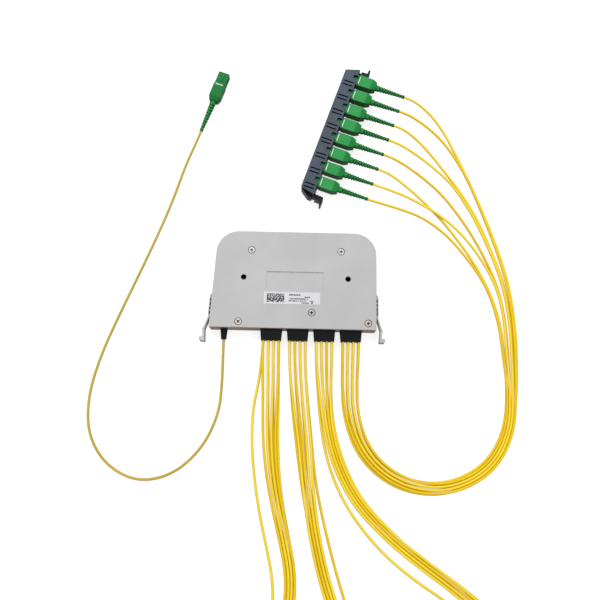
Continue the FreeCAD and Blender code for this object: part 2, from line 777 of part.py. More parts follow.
def rounded_path(points):
    """Straight runs joined by tangent arcs, each as large as its two runs allow."""
    edges = []
    radii = []
    last = points[0]
    for before, corner, after in zip(points, points[1:], points[2:]):
        arriving, leaving = corner - before, after - corner
        turn = arriving.getAngle(leaving)
        reach = 0.45 * min(arriving.Length, leaving.Length)
        radii.append(reach / math.tan(turn / 2))
        arriving.normalize()
        leaving.normalize()
        start = corner - arriving * reach
        end = corner + leaving * reach
        inward = (leaving - arriving).normalize()
        middle = corner + inward * (math.hypot(radii[-1], reach) - radii[-1])
        edges.append(Part.LineSegment(last, start).toShape())
        edges.append(Part.Arc(start, middle, end).toShape())
        last = end
    edges.append(Part.LineSegment(last, points[-1]).toShape())
    return Part.Wire(edges), radii


def sweep(points, section, area):
    """Carries a flat section, drawn about the origin facing +X, along a rounded path."""
    path, radii = rounded_path(points)
    heading = points[1] - points[0]
    section.Placement = Placement(points[0], Rotation(Vector(1, 0, 0), heading))
    solid = path.makePipe(section)
    expected = area * path.Length
    if abs(solid.Volume - expected) > 0.01 * expected:
        raise ValueError(f"a sweep holds {solid.Volume:.2f} instead of {expected:.2f}")
    return solid, radii, path.Length


def tube(points, radius):
    ring = Part.Wire(Part.makeCircle(radius, Vector(), Vector(1, 0, 0)))
    return sweep(points, Part.Face(ring), math.pi * radius ** 2)


def strip(points, thickness, width):
    """A flat ribbon that stands on edge, so that it bends across its thickness."""
    corners = [Vector(0, thickness * a, width * b) for a, b in
               ((-0.5, -0.5), (0.5, -0.5), (0.5, 0.5), (-0.5, 0.5), (-0.5, -0.5))]
    return sweep(points, Part.Face(Part.makePolygon(corners)), thickness * width)


def inner_fibres():
    """The input fibre and the four ribbons between the splitter chip and the boots."""
    face = value(f"-{HALF_Y} + wall + boot_clearance + flange_thickness")
    level = value("floor_thickness + chip_height / 2")
    chip_left = value("chip_x - chip_length / 2")
    chip_right = value("chip_x + chip_length / 2")
    chip_y = value("chip_y")
    left = value(INPUT_BOOT_X)
    exit_level = value("boot_axis_height")
    route = [Vector(left, face, exit_level), Vector(left, face + 8, exit_level),
             Vector(left, face + 20, level), Vector(left, face + 36, level + 0.2),
             Vector(left + 1, chip_y - 9, level), Vector(left + 8, chip_y, level),
             Vector(chip_left, chip_y, level)]
    solids = [tube(route, value("fibre_radius"))[0]]
    turns = ((18.0, 5.0), (20.5, 1.0), (23.0, -4.0), (42.5, -12.0))
    for number, (reach, turn_y) in enumerate(turns, start=1):
        start_y = chip_y + value("ribbon_pitch") * (number - 2.5)
        x = value(boot_x(number))
        away = chip_right + reach
        lead = face + 10
        route = [Vector(chip_right, start_y, level), Vector(away - 4, start_y, level),
                 Vector(away, start_y - 8, level), Vector(away - 1, turn_y, level),
                 Vector(x, lead, level), Vector(x, face, level)]
        solids.append(strip(route, value("ribbon_thickness"), value("ribbon_width"))[0])
    return solid_node("inner_fibres", Part.makeCompound(solids))


# ---------------------------------------------------------------- plugs

GRIP_FRONT = "(-plug_front)"
BODY_FRONT = "(-plug_front + body_setback)"
BODY_END = "(-plug_front + body_setback + body_length)"
GRIP_END = "(plug_rear + plug_tail)"
SLEEVE_START = f"({BODY_END} + grip_travel + body_play)"
SLEEVE_END = f"({SLEEVE_START} + sleeve_length)"
BOOT_END = f"({SLEEVE_END} + relief_length)"
RIBS = 9


def across(body, name, x, width, height):
    """A centred rectangle square to the plug's axis."""
    sketch = sketch_on(body, name, "YZ_Plane", x)
    add_rectangle(sketch, name, f"-{width} / 2", f"{width} / 2", f"-{height} / 2", f"{height} / 2")
    return sketch


def rounded_across(body, name, x, width, height):
    sketch = sketch_on(body, name, "YZ_Plane", x)
    add_rounded(sketch, name, f"{width} / 2", f"{height} / 2", "grip_corner")
    return sketch


def disc(body, name, x, radius):
    sketch = sketch_on(body, name, "YZ_Plane", x)
    add_circle(sketch, name, "0", "0", radius)
    return sketch


def plug_grip(label):
    """The sliding outer sleeve: keyed front, wider rear, tapered tail, side windows."""
    body = new_body(label)
    pad(body, rounded_across(body, "front", GRIP_FRONT, "front_width", "front_height"), "plug_front")
    pad(body, rounded_across(body, "rear", "0", "grip_width", "grip_height"), "plug_rear")
    tail = body.newObject("PartDesign::AdditiveLoft", f"{body.Name}_tail")
    tail.Profile = rounded_across(body, "tail_root", "plug_rear", "grip_width", "grip_height")
    tail.Sections = [rounded_across(body, "tail_end", GRIP_END, "tail_width", "tail_height")]
    tail.Ruled = True
    key = sketch_on(body, "key", "XY_Plane", "front_height / 2 - grip_corner")
    add_rectangle(key, "key", f"{GRIP_FRONT} + grip_corner", f"{GRIP_FRONT} + grip_corner + key_length",
                  "-key_width / 2", "key_width / 2")
    pad(body, key, "key_height + grip_corner")
    width, height = "(body_width + 2 * body_play)", "(body_height + 2 * body_play)"
    cavity = across(body, "cavity", GRIP_FRONT, width, height)
    pocket(body, cavity, f"{BODY_END} + body_play - {GRIP_FRONT}", True)
    tail_bore = disc(body, "tail_bore", GRIP_END, "sleeve_radius + sleeve_play")
    pocket(body, tail_bore, "plug_rear + plug_tail")
    windows = sketch_on(body, "windows", "XZ_Plane", "grip_width")
    add_rectangle(windows, "window", f"{GRIP_FRONT} + grip_window_setback",
                  f"{GRIP_FRONT} + grip_window_setback + grip_window_length",
                  "-grip_window_height / 2", "grip_window_height / 2")
    pocket(body, windows, "2 * grip_width")
    return body


def plug_body(label, with_ferrule):
    """The inner frame that carries the ferrule and the crimp tail."""
    body = new_body(label)
    pad(body, across(body, "frame", BODY_FRONT, "body_width", "body_height"), "body_length")
    pad(body, disc(body, "crimp", BODY_END, "crimp_radius"), "crimp_length")
    pocket(body, disc(body, "nose", BODY_FRONT, "nose_radius"), "nose_depth", True)
    if with_ferrule:
        tip = f"{GRIP_FRONT} + ferrule_setback"
        pad(body, disc(body, "ferrule", tip, "ferrule_radius"), "ferrule_length - ferrule_setback")
    else:
        hole_start = f"{BODY_FRONT} + nose_depth"
        hole_depth = f"ferrule_length + ferrule_setback + {GRIP_FRONT} - ({hole_start})"
        hole = disc(body, "ferrule_hole", hole_start, "ferrule_radius + ferrule_clearance")
        pocket(body, hole, hole_depth, True)
    return body


def plug_ferrule(label):
    body = new_body(label)
    pad(body, disc(body, "rod", f"{GRIP_FRONT} + ferrule_setback", "ferrule_radius"), "ferrule_length")
    tip_x = value(f"{GRIP_FRONT} + ferrule_setback")
    tip = edges_where(body, lambda e, m: abs(m.x - tip_x) < 0.01)
    chamfer(body, tip, "ferrule_chamfer")
    return body


def plug_boot(label, extra):
    """The ribbed strain relief, a sleeve over the crimp and a tapered tail."""
    body = new_body(label)
    sketch = sketch_on(body, "profile", "XY_Plane")
    tail = f"(relief_length + {extra})"
    end = f"({SLEEVE_END} + {tail})"
    pitch = f"({tail} / {RIBS + 1})"
    corners = [(SLEEVE_START, "crimp_radius + sleeve_bore_clearance"), (SLEEVE_START, "sleeve_radius"),
               (SLEEVE_END, "sleeve_radius")]
    for rib in range(1, RIBS + 1):
        share = f"({rib} / {RIBS + 1})"
        land = f"(sleeve_radius + (sleeve_end_radius - sleeve_radius) * {share})"
        start = f"{SLEEVE_END} + {rib} * {pitch}"
        corners += [(f"{start} - groove_length", land), (f"{start} - groove_length", f"{land} - rib_depth"),
                    (start, f"{land} - rib_depth"), (start, land)]
    bore_end = f"({BODY_END} + crimp_length + body_play)"
    corners += [(end, "sleeve_end_radius"), (end, "0"), (bore_end, "0"),
                (bore_end, "crimp_radius + sleeve_bore_clearance")]
    add_polygon(sketch, "profile", corners)
    turn = body.newObject("PartDesign::Revolution", f"{body.Name}_turn")
    turn.Profile = sketch
    turn.ReferenceAxis = (sketch, ["H_Axis"])
    turn.Angle = 360.0
    return body


def clone(source, label, placement):
    """A body that repeats another body's shape in a place of its own."""
    body = new_body(label)
    copy = DOC.addObject("PartDesign::FeatureBase", f"{label}_clone")
    copy.BaseFeature = source
    body.Group = [copy]
    body.Tip = copy
    body.Placement = placement
    return body


# ---------------------------------------------------------------- plug holder

HOLDER_FACE = "(-holder_face_gap)"
HOLDER_BACK = "(-holder_face_gap - holder_depth)"
HOLDER_FAR = f"(holder_margin - holder_end_wall - {COUNT_IN_GROUP} * holder_pitch)"
SOCKET_HALF_WIDTH = "(front_width / 2 + socket_clearance)"
SOCKET_HALF_HEIGHT = "(front_height / 2 + socket_clearance)"


def seat(number):
    """Y of a plug's axis in its holder."""
    return f"(-{number - 1} * holder_pitch)"


def holder_ear(body, end, outward):
    """A notched clip ear past one end of the block; outward is the sign of Y there."""
    sketch = sketch_on(body, f"ear_{end}", "XY_Plane")
    edge = "holder_margin" if outward == "+" else HOLDER_FAR
    profile = [
        (HOLDER_BACK, "0 - holder_end_slant / 2"),
        (f"{HOLDER_BACK} + 0.6 * holder_depth", "ear_root"),
        (f"{HOLDER_FACE} - ear_notch_width / 2", "ear_root"),
        (f"{HOLDER_FACE} - ear_notch_width / 2", "ear_root - ear_notch_depth"),
        (f"{HOLDER_FACE} + ear_notch_width / 2", "ear_root - ear_notch_depth"),
        (f"{HOLDER_FACE} + ear_notch_width / 2", "ear_root"),
        (f"{HOLDER_FACE} + 0.75 * ear_reach", "ear_root"),
        (f"{HOLDER_FACE} + 0.85 * ear_reach", "ear_projection"),
        (f"{HOLDER_FACE} + ear_reach", "ear_projection - edge_radius"),
        (f"{HOLDER_FACE} + ear_reach", "0"),
        (f"{HOLDER_FACE} - edge_radius", "0 - edge_radius"),
    ]
    add_polygon(sketch, "ear", [(x, f"{edge} {outward} ({y})") for x, y in profile])
    pad(body, sketch, "ear_height")


def plug_holder(label):
    """The block that eight plugs are pushed into, with key notches and slots on top."""
    body = new_body(label)
    block = sketch_on(body, "block", "XY_Plane")
    add_polygon(block, "block", [
        (HOLDER_BACK, f"{HOLDER_FAR} + holder_end_slant / 2"),
        (HOLDER_FACE, f"{HOLDER_FAR} - holder_end_slant / 2"),
        (HOLDER_FACE, "holder_margin + holder_end_slant / 2"),
        (HOLDER_BACK, "holder_margin - holder_end_slant / 2"),
    ])
    pad(body, block, "holder_height")
    holder_ear(body, "near", "+")
    holder_ear(body, "far", "-")
    sockets = sketch_on(body, "sockets", "YZ_Plane", HOLDER_FACE)
    keyways = sketch_on(body, "keyways", "YZ_Plane", HOLDER_FACE)
    notches = sketch_on(body, "notches", "XY_Plane", "holder_height")
    slots = sketch_on(body, "slots", "XY_Plane", "holder_height")
    for number in range(1, COUNT_IN_GROUP + 1):
        y = seat(number)
        add_rectangle(sockets, f"socket{number}_", f"{y} - {SOCKET_HALF_WIDTH}", f"{y} + {SOCKET_HALF_WIDTH}",
                      f"plug_axis_height - {SOCKET_HALF_HEIGHT}", f"plug_axis_height + {SOCKET_HALF_HEIGHT}")
        half_key = "(key_width / 2 + socket_clearance)"
        add_rectangle(keyways, f"keyway{number}_", f"{y} - {half_key}", f"{y} + {half_key}",
                      "plug_axis_height", f"plug_axis_height + {SOCKET_HALF_HEIGHT} + key_height")
        add_rectangle(notches, f"notch{number}_", f"{HOLDER_FACE} - notch_depth",
                      f"{HOLDER_FACE} + edge_radius", f"{y} - notch_width / 2", f"{y} + notch_width / 2")
        for side in ("-", "+"):
            middle = f"({y} - slot_offset {side} slot_spacing / 2)"
            back = f"({HOLDER_FACE} - slot_setback - slot_length)"
            add_rectangle(slots, f"slot{number}{'a' if side == '-' else 'b'}_", back, f"{back} + slot_length",
                          f"{middle} - slot_width / 2", f"{middle} + slot_width / 2")
    pocket(body, sockets, "holder_depth - socket_back")
    pocket(body, keyways, "holder_depth - socket_back")
    pocket(body, notches, f"holder_height - plug_axis_height - {SOCKET_HALF_HEIGHT} + 0.1")
    pocket(body, slots, "slot_depth")
    return body


# ---------------------------------------------------------------- where the plugs lie

# Each row of plugs: plug 1's step in the grip, and the direction of the plugs' axes in degrees.
ROWS = {
    1: (-101.9, -455.1, 82.0),
    2: (20.3, -448.6, 90.0),
    3: (153.5, -461.5, 102.0),
    4: (46.4, 165.4, -18.57),
}
INPUT_PLUG = (-64.6, 161.1, -108.53)


def row_frame(group):
    x, y, degrees = ROWS[group]
    return Placement(Vector(x, y, 0), Rotation(Vector(0, 0, 1), degrees))


def plug_frame(group, number):
    """The frame of one plug in its holder."""
    shift = Vector(0, value(seat(number)), value("plug_axis_height"))
    return row_frame(group).multiply(Placement(shift, Rotation()))


def input_plug_frame():
    x, y, degrees = INPUT_PLUG
    return Placement(Vector(x, y, value("grip_height / 2")), Rotation(Vector(0, 0, 1), degrees))


# ---------------------------------------------------------------- cords

# A group's common route past its boot: X, Y, pitch of its four columns, heights of its two rows.
TRUNKS = {
    1: [(-17.3, -57, 3.85, 4.6, 7.8), (-16.8, -74, 3.75, 2.2, 5.0), (-16.4, -95, 3.55, 1.05, 2.95),
        (-15.5, -117, 3.2, 1.05, 2.95), (-13.5, -139, 2.75, 1.05, 2.95), (-10, -161, 2.5, 1.05, 2.95),
        (-4.6, -185, 2.4, 1.05, 2.95), (0.5, -210, 2.4, 1.05, 2.95), (-0.5, -237, 2.4, 1.05, 2.95),
        (-12, -262, 2.4, 1.05, 2.95), (-27, -285, 2.5, 1.05, 2.95), (-41, -308, 2.9, 1.05, 3.3)],
    2: [(2.3, -57, 3.85, 4.6, 7.8), (3.4, -74, 3.75, 2.2, 5.0), (5.4, -95, 3.55, 1.05, 2.95),
        (7.8, -117, 3.2, 1.05, 2.95), (10.3, -139, 2.75, 1.05, 2.95), (13.8, -161, 2.5, 1.05, 2.95),
        (19, -186, 2.4, 1.05, 2.95), (25.8, -212, 2.4, 1.05, 2.95), (34.5, -237, 2.4, 1.05, 2.95),
        (44.5, -262, 2.5, 1.05, 2.95), (54.5, -288, 2.9, 1.05, 3.3)],
    3: [(21.9, -57, 3.85, 4.6, 7.8), (22.6, -74, 3.2, 2.2, 5.0), (24.4, -95, 2.3, 1.05, 3.1),
        (28.5, -117, 2.2, 1.05, 3.1), (36.3, -139, 2.15, 1.05, 3.1), (48.7, -161, 2.15, 1.05, 3.1),
        (69.5, -182.5, 2.3, 1.05, 3.1), (91, -199.5, 2.4, 1.05, 3.1), (114.5, -215, 2.4, 1.05, 3.1),
        (137, -232, 2.4, 1.05, 3.1), (155, -255, 2.5, 1.05, 3.1), (168, -281, 2.9, 1.05, 3.3)],
    4: [(41.35, -57, 3.8, 4.6, 7.8), (40.9, -75, 3.6, 2.2, 5.0), (42, -99, 3.3, 1.05, 3.1),
        (51.3, -125.3, 3.0, 1.05, 3.1), (72, -143.5, 2.8, 1.05, 3.1), (98, -150, 2.55, 1.05, 3.1),
        (123, -144.8, 2.35, 1.05, 3.1), (144.3, -130, 2.2, 1.05, 3.1), (157, -106.5, 2.15, 1.05, 3.1),
        (160.3, -79, 2.2, 1.05, 3.2)],
}
# How far the upper row leans off the lower one, to the right of its way.
LEANS = {1: 1.1, 2: 1.1, 3: 0.6, 4: -0.6}
# A lower cord that strays from its group: its column, and how far it stands out at each point.
STRAYS = {
    1: (0, (0.5, 3, 7.2, 8.8, 9.1, 9.3, 9, 8, 6.5, 5, 4, 3)),
    2: (3, (0, 0, 0.3, 1.0, 1.6, 2.4, 3.6, 4.2, 4, 3.5, 3)),
    3: (0, (0, 0.5, 1.6, 2.9, 4.4, 5.4, 7.4, 7.5, 6.8, 5.2, 4, 3)),
}
# The column and row (0 below, 1 above) that each cord of a group leaves its boot from.
ORDER = {1: (0, 0), 2: (0, 1), 3: (1, 0), 4: (1, 1), 5: (2, 0), 6: (2, 1), 7: (3, 0), 8: (3, 1)}
LAST_ORDER = {1: (0, 0), 2: (0, 1), 3: (1, 0), 4: (1, 1), 5: (2, 0), 7: (2, 1), 6: (3, 0), 8: (3, 1)}
# How a cord spreads from the end of its trunk to its plug: share of the way, share of the shift,
# and how far it has risen.
FAN = ((0.28, 0.16, 0.2), (0.56, 0.50, 0.5), (0.84, 0.88, 1.6))
# The cords of group 4 from the end of their trunk to their plugs.
SPREAD = {
    1: [(165.4, -51), (164.6, -23), (161, 5), (153.6, 32), (143.6, 60), (132.6, 88), (119.5, 115),
        (104.5, 136.5)],
    2: [(163.6, -51), (162.6, -23), (159, 5), (151.6, 32), (142, 60), (131.8, 87), (117.5, 111),
        (101, 127)],
    3: [(162.2, -51), (161.6, -25), (158, 2), (148.8, 30), (138, 57), (123.5, 81.5), (107.3, 101.5),
        (94.5, 114)],
    4: [(160.6, -51), (160.1, -25), (156.2, 2), (147, 29.5), (135.7, 55.5), (122.3, 78.5), (106, 93.6),
        (91, 103)],
    5: [(158.6, -51), (157.6, -25), (153, 1), (142.5, 26.5), (129.4, 50.5), (113.4, 72.5), (99.6, 85.5),
        (87.5, 93.8)],
    7: [(157, -51), (156.3, -25), (152, -1), (141.5, 20.5), (126.5, 41.5), (108, 57.5), (91.5, 66.5),
        (80.5, 71.5)],
    6: [(155.8, -51), (153.5, -25), (145.5, 0), (133, 23.5), (117.5, 45.5), (101, 63.5), (84.8, 76)],
    8: [(154.2, -51), (151.6, -25), (144, 0), (132, 19), (116, 39), (97.5, 53), (80.3, 59.2)],
}
UPPER_SPREAD = 3.3
LOWER_SPREAD = 1.05
LEAD = 11.0
# The input cord from its boot to its plug.
INPUT_ROUTE = [(-52.2, -57, 6.1), (-52.3, -75, 2.6), (-53.7, -99, 1.05), (-65, -124.5, 1.05),
               (-85.5, -143.3, 1.05), (-110.5, -148.3, 1.05), (-134, -136.6, 1.05), (-148, -115, 1.05),
               (-150, -88, 1.05), (-143, -57, 1.05), (-129, -20, 1.05), (-113, 20, 1.05), (-98, 61, 1.05),
               (-89, 93, 1.6)]


def boot_exit(group, column, row):
    """Where a cord leaves its collar."""
    x = value(f"{boot_x(group)} + {column - 1.5} * cord_column_pitch")
    y = value(f"-{HALF_Y} - boot_length - collar_height")
    z = value(f"boot_axis_height + {row - 0.5} * cord_row_pitch")
    return Vector(x, y, z)


def trunk_points(group, column, row):
    """One cord's points from its boot along its group's common route."""
    trunk = TRUNKS[group]
    stray_column, stray = STRAYS.get(group, (None, None))
    points = [boot_exit(group, column, row)]
    middle = (boot_exit(group, 0, row) + boot_exit(group, 3, row)) / 2
    for index, (x, y, pitch, low, high) in enumerate(trunk):
        before = trunk[index - 1] if index else middle
        after = trunk[min(index + 1, len(trunk) - 1)]
        heading = Vector(after[0] - before[0], after[1] - before[1], 0).normalize()
        right = Vector(heading.y, -heading.x, 0)
        shift = (1.5 - column) * pitch
        if row == 1 and index > 1:
            shift += LEANS[group]
        if row == 0 and column == stray_column:
            shift += stray[index] if column == 0 else -stray[index]
        points.append(Vector(x, y, high if row else low) + right * shift)
    return points


def cord_points(group, number):
    """One output cord's route from its boot to its plug."""
    order = LAST_ORDER if group == GROUPS else ORDER
    column, row = order[number]
    points = trunk_points(group, column, row)
    frame = plug_frame(group, number)
    end = frame.multVec(Vector(value(BOOT_END), 0, 0))
    lead = frame.multVec(Vector(value(BOOT_END) + LEAD, 0, 0))
    if group == GROUPS:
        height = UPPER_SPREAD if row else LOWER_SPREAD
        spread = [Vector(x, y, height) for x, y in SPREAD[number]]
        spread[-1].z = height + 1.2
        return points + spread + [lead, end]
    way = frame.Rotation.multVec(Vector(-1, 0, 0))
    gap = lead - points[-1]
    along = way * gap.dot(way)
    aside = gap - along
    last = points[-1]
    for forward, shift, rise in FAN:
        point = last + along * forward + aside * shift
        point.z = last.z + rise
        points.append(point)
    return points + [lead, end]


def input_points():
    frame = input_plug_frame()
    reach = value(f"{BOOT_END} + input_relief_extra")
    start = Vector(value(INPUT_BOOT_X), value(f"-{HALF_Y} - boot_length"), value("boot_axis_height"))
    way = [Vector(*point) for point in INPUT_ROUTE]
    return [start] + way + [frame.multVec(Vector(reach + LEAD, 0, 0)), frame.multVec(Vector(reach, 0, 0))]


def cord(points, name):
    solid, radii, length = tube(points, value("cord_diameter / 2"))
    print(f"{name}: length {length:.0f}, radii " + " ".join(f"{radius:.0f}" for radius in radii))
    return solid


# ---------------------------------------------------------------- the whole product

def plugs_and_holders():
    """Nine free plugs, three rows of parked ones and the four holders."""
    grip = plug_grip("input_plug_grip")
    inner = plug_body("plug_body_1", True)
    boot = plug_boot("plug_boot_1", "0")
    holder = plug_holder("plug_holder_4")
    nodes = [grip, plug_body("input_plug_body", False), plug_ferrule("input_plug_ferrule"),
             plug_boot("input_plug_boot", "input_relief_extra")]
    for node in nodes:
        node.Placement = input_plug_frame()
    row = []
    for number in range(1, COUNT_IN_GROUP + 1):
        place = plug_frame(GROUPS, number)
        row.append(clone(grip, f"plug_grip_{number}", place))
        if number > 1:
            row.append(clone(inner, f"plug_body_{number}", place))
            row.append(clone(boot, f"plug_boot_{number}", place))
    inner.Placement = plug_frame(GROUPS, 1)
    boot.Placement = plug_frame(GROUPS, 1)
    holder.Placement = row_frame(GROUPS)
    nodes += [inner, boot, holder] + row
    for group in range(1, GROUPS):
        nodes.append(clone(holder, f"plug_holder_{group}", row_frame(group)))
    DOC.recompute()
    for group in range(1, GROUPS):
        copies = []
        for number in range(1, COUNT_IN_GROUP + 1):
            place = plug_frame(group, number)
            for source in (grip, inner, boot):
                copies.append(local_copy(source, place))
        nodes.append(solid_node(f"parked_plugs_{group}", Part.makeCompound(copies)))
    return nodes


def local_copy(node, placement):
    """A node's shape, moved from its own place to another."""
    shape = node.Shape.copy()
    shape.Placement = placement.multiply(node.Placement.inverse()).multiply(shape.Placement)
    return shape


def cords():
    nodes = [solid_node("input_cord", cord(input_points(), "input_cord"))]
    for group in range(1, GROUPS + 1):
        tubes = [cord(cord_points(group, number), f"group {group} cord {number}")
                 for number in range(1, COUNT_IN_GROUP + 1)]
        if group == GROUPS:
            for number, shape in enumerate(tubes, start=1):
                nodes.append(solid_node(f"output_cord_{number}", shape))
        else:
            nodes.append(solid_node(f"cords_{group}", Part.makeCompound(tubes)))
    return nodes


def check(nodes):
    """Stops on a failed feature, a cut that removed nothing or a shape that isn't sound."""
    DOC.recompute()
    for item in DOC.Objects:
        if "Invalid" in item.State or "Error" in item.State:
            raise RuntimeError(f"{item.Name} failed: {item.State}")
    for before, feature in CUTS:
        if before.Shape.Volume - feature.Shape.Volume < 0.001:
            raise RuntimeError(f"{feature.Name} removed nothing")
    for node in nodes:
        if node.Shape.isNull() or not node.Shape.isValid() or not node.Shape.Solids:
            raise RuntimeError(f"{node.Label} is not a sound solid")


def main():
    nodes = [cassette_base(), cassette_cover(), cover_screws(), latch("left"), latch("right"), input_boot(),
             label(), splitter_chip(), inner_fibres()]
    nodes += [output_boot(number) for number in range(1, GROUPS + 1)]
    nodes += plugs_and_holders()
    nodes += cords()
    check(nodes)
    os.makedirs("parts", exist_ok=True)
    for node in nodes:
        node.Shape.exportStep(f"parts/{node.Label}.step")
    print(f"{len(nodes)} nodes written")


main()
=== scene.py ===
"""Looks for the fibre splitter: finishes for every part, and the smooth lines of its 33 cords.

Objects are in metres, in the frame that the solids are built in: X runs along the cassette's cable
face, Y from that face to the other side of the case, and Z up. The cords leave the face towards -Y.
Sizes and route tables are in millimetres, as for the solids, where a comment doesn't say metres.
"""

import math

import bmesh
import bpy
from mathutils import Matrix, Vector


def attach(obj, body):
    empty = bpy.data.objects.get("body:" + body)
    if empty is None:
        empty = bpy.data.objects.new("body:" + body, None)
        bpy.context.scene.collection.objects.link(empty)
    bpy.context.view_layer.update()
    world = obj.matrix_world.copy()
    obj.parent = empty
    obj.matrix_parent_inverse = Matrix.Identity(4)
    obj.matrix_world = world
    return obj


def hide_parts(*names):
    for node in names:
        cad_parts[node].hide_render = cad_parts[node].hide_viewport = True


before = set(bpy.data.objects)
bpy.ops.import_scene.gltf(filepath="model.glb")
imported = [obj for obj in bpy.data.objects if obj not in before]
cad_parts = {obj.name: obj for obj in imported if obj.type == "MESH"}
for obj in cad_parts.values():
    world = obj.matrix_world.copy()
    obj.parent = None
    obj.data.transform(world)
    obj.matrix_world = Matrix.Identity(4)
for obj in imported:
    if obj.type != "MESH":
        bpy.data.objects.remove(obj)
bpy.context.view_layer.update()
scene = bpy.context.scene

MM = 0.001

# Cords, and the boots that they leave the case from.
CORD_DIAMETER = 2.0
GROUPS = 4
COUNT_IN_GROUP = 8
FIRST_BOOT_X = -17.3
BOOT_PITCH = 19.55
BOOT_AXIS_HEIGHT = 6.3
COLUMN_PITCH = 3.85
ROW_PITCH = 3.2
CORD_START_Y = -45.4
INPUT_START = (-52.2, -45, 6.3)
# The middle of a boot's columns 0 to 3 and rows 0 and 1.
MIDDLE_COLUMN = 1.5
MIDDLE_ROW = 0.5

# Plugs. Distances along a plug start at the step in its grip.
HOLDER_PITCH = 13.05
HOLDER_HEIGHT = 13.2
PLUG_AXIS_HEIGHT = 6.6
INPUT_PLUG_HEIGHT = 3.85
RELIEF_START = 14.7
RIBS_START = 16.6
RIB_PITCH = 2.2
INPUT_RIB_PITCH = 2.5
GROOVE = 1.1
BOOT_END = 38.6
INPUT_BOOT_END = 41.6
# The straight cord behind a plug's boot, and the shorter one in the last group.
LEAD = 11.0
LAST_LEAD = 6.0
# Where a grip's green starts and ends turning deeper, a painted shade on its tapered end.
TAIL_SHADE = (9.6, 11.2)
# The pale line at a grip's step: middle along and across the plug, width and length.
STEP_LINE = (0.55, 0, 0.75, 6.2)
# The input plug lies alone, so its pattern repeats only far to its sides.
ALONE = 200.0

# The case, half the width of its seam's line, and the top of its latches.
CASE_HEIGHT = 12.5
SEAM_HEIGHT = 6.5
SEAM_HALF = 0.14
LATCH_TOP = 10.2
# The mounting bores: X to either side, Y, and radius.
MOUNT_HOLE = (38.8, 1.2)
MOUNT_RADIUS = 1.9
# How far below a top its darker tone starts, painted shade (on the holders also their black ends), and how
# far past a bore or a seat the painted shadow reaches.
CASE_SKIN = 0.06
LATCH_SKIN = 0.1
HOLDER_SKIN = 0.08
HEAD_SKIN = 0.16
BORE_RIM = 0.2
SEAT_RIM = 0.15

# The cover screws: a bevelled head over a shank with a short tip, and a cross that narrows downwards.
SCREW_TOP = 12.4
SEAT_RADIUS = 2.8
HEAD_RADIUS = 2.45
HEAD_SIDES = 24
HEAD_HEIGHT = 0.8
# The rim's bevel, and how far round it each of its rings lies, in degrees.
RIM_BEVEL = 0.35
RIM_ARC = (0, 30, 60, 90)
SHANK_RADIUS = 1.3
SHANK_LENGTH = 9.0
TIP_LENGTH = 1.5
TIP_SHARE = 0.3
CROSS_ARMS = 4
CROSS_REACH = 1.5
CROSS_WAIST = 0.42
CROSS_DEPTH = 0.55
CROSS_FLOOR_SHARE = 0.55
# Each cover screw: X, Y and how far its cross is turned, in degrees.
SCREWS = ((-33.5, 22.2, 42), (33.5, 22.2, 51), (12.2, -24.8, 38), (-41.6, -32.4, 87), (53.9, -32.0, 47))

# The label's printed bars and its field of cells: middle X and Y, width and depth.
PRINT_BARS = ((-0.6, -11.75, 8.4, 1.1), (8.8, -13.4, 4.0, 0.9), (2.2, -14.7, 14.0, 0.85),
              (1.5, -16.3, 13.0, 0.85), (12.1, -16.3, 3.1, 0.7), (7.1, -17.8, 5.6, 0.85),
              (12.35, -17.7, 1.4, 1.4))
CODE_FIELD = (-14.7, -14.2, 13.0, 6.6)
# The width of a cell, and the share of the cells that stay blank.
CELL = 0.55
BLANK_CELLS = 0.24

# The floor in metres: half its width, how far it lies below the object, and how bright it is seen.
FLOOR_REACH = 3.0
FLOOR_DROP = 0.0002
FLOOR_GLOW = 0.76
# The floor beneath the case, which isn't bright, a painted shadow seen through the bores: middle X and Y,
# width and depth.
CASE_SHADOW_PATCH = (0, 0, 112, 66)
# The strength of the surroundings as a light. The camera sees them at 1, which is white.
WORLD_LIGHT = 0.5
# The camera: its place in metres, its turn, tilt and roll in degrees, its lens and its sensor's width.
CAMERA_PLACE = (0.00423, -0.129654, 0.523587)
CAMERA_TURN = 0.4015
CAMERA_TILT = 12.593
CAMERA_ROLL = 0.8343
LENS = 42.6
SENSOR_WIDTH = 36.0

# ---------------------------------------------------------------- where the plugs and cords lie

# Each row of plugs: plug 1's step in the grip, and the direction of the plugs' axes in degrees.
ROWS = {
    1: (-101.9, -455.1, 82.0),
    2: (20.3, -448.6, 90.0),
    3: (153.5, -461.5, 102.0),
    4: (46.4, 165.4, -18.57),
}
# The input plug's step, and the direction of its axis in degrees.
INPUT_PLUG = (-64.6, 161.1, -108.53)

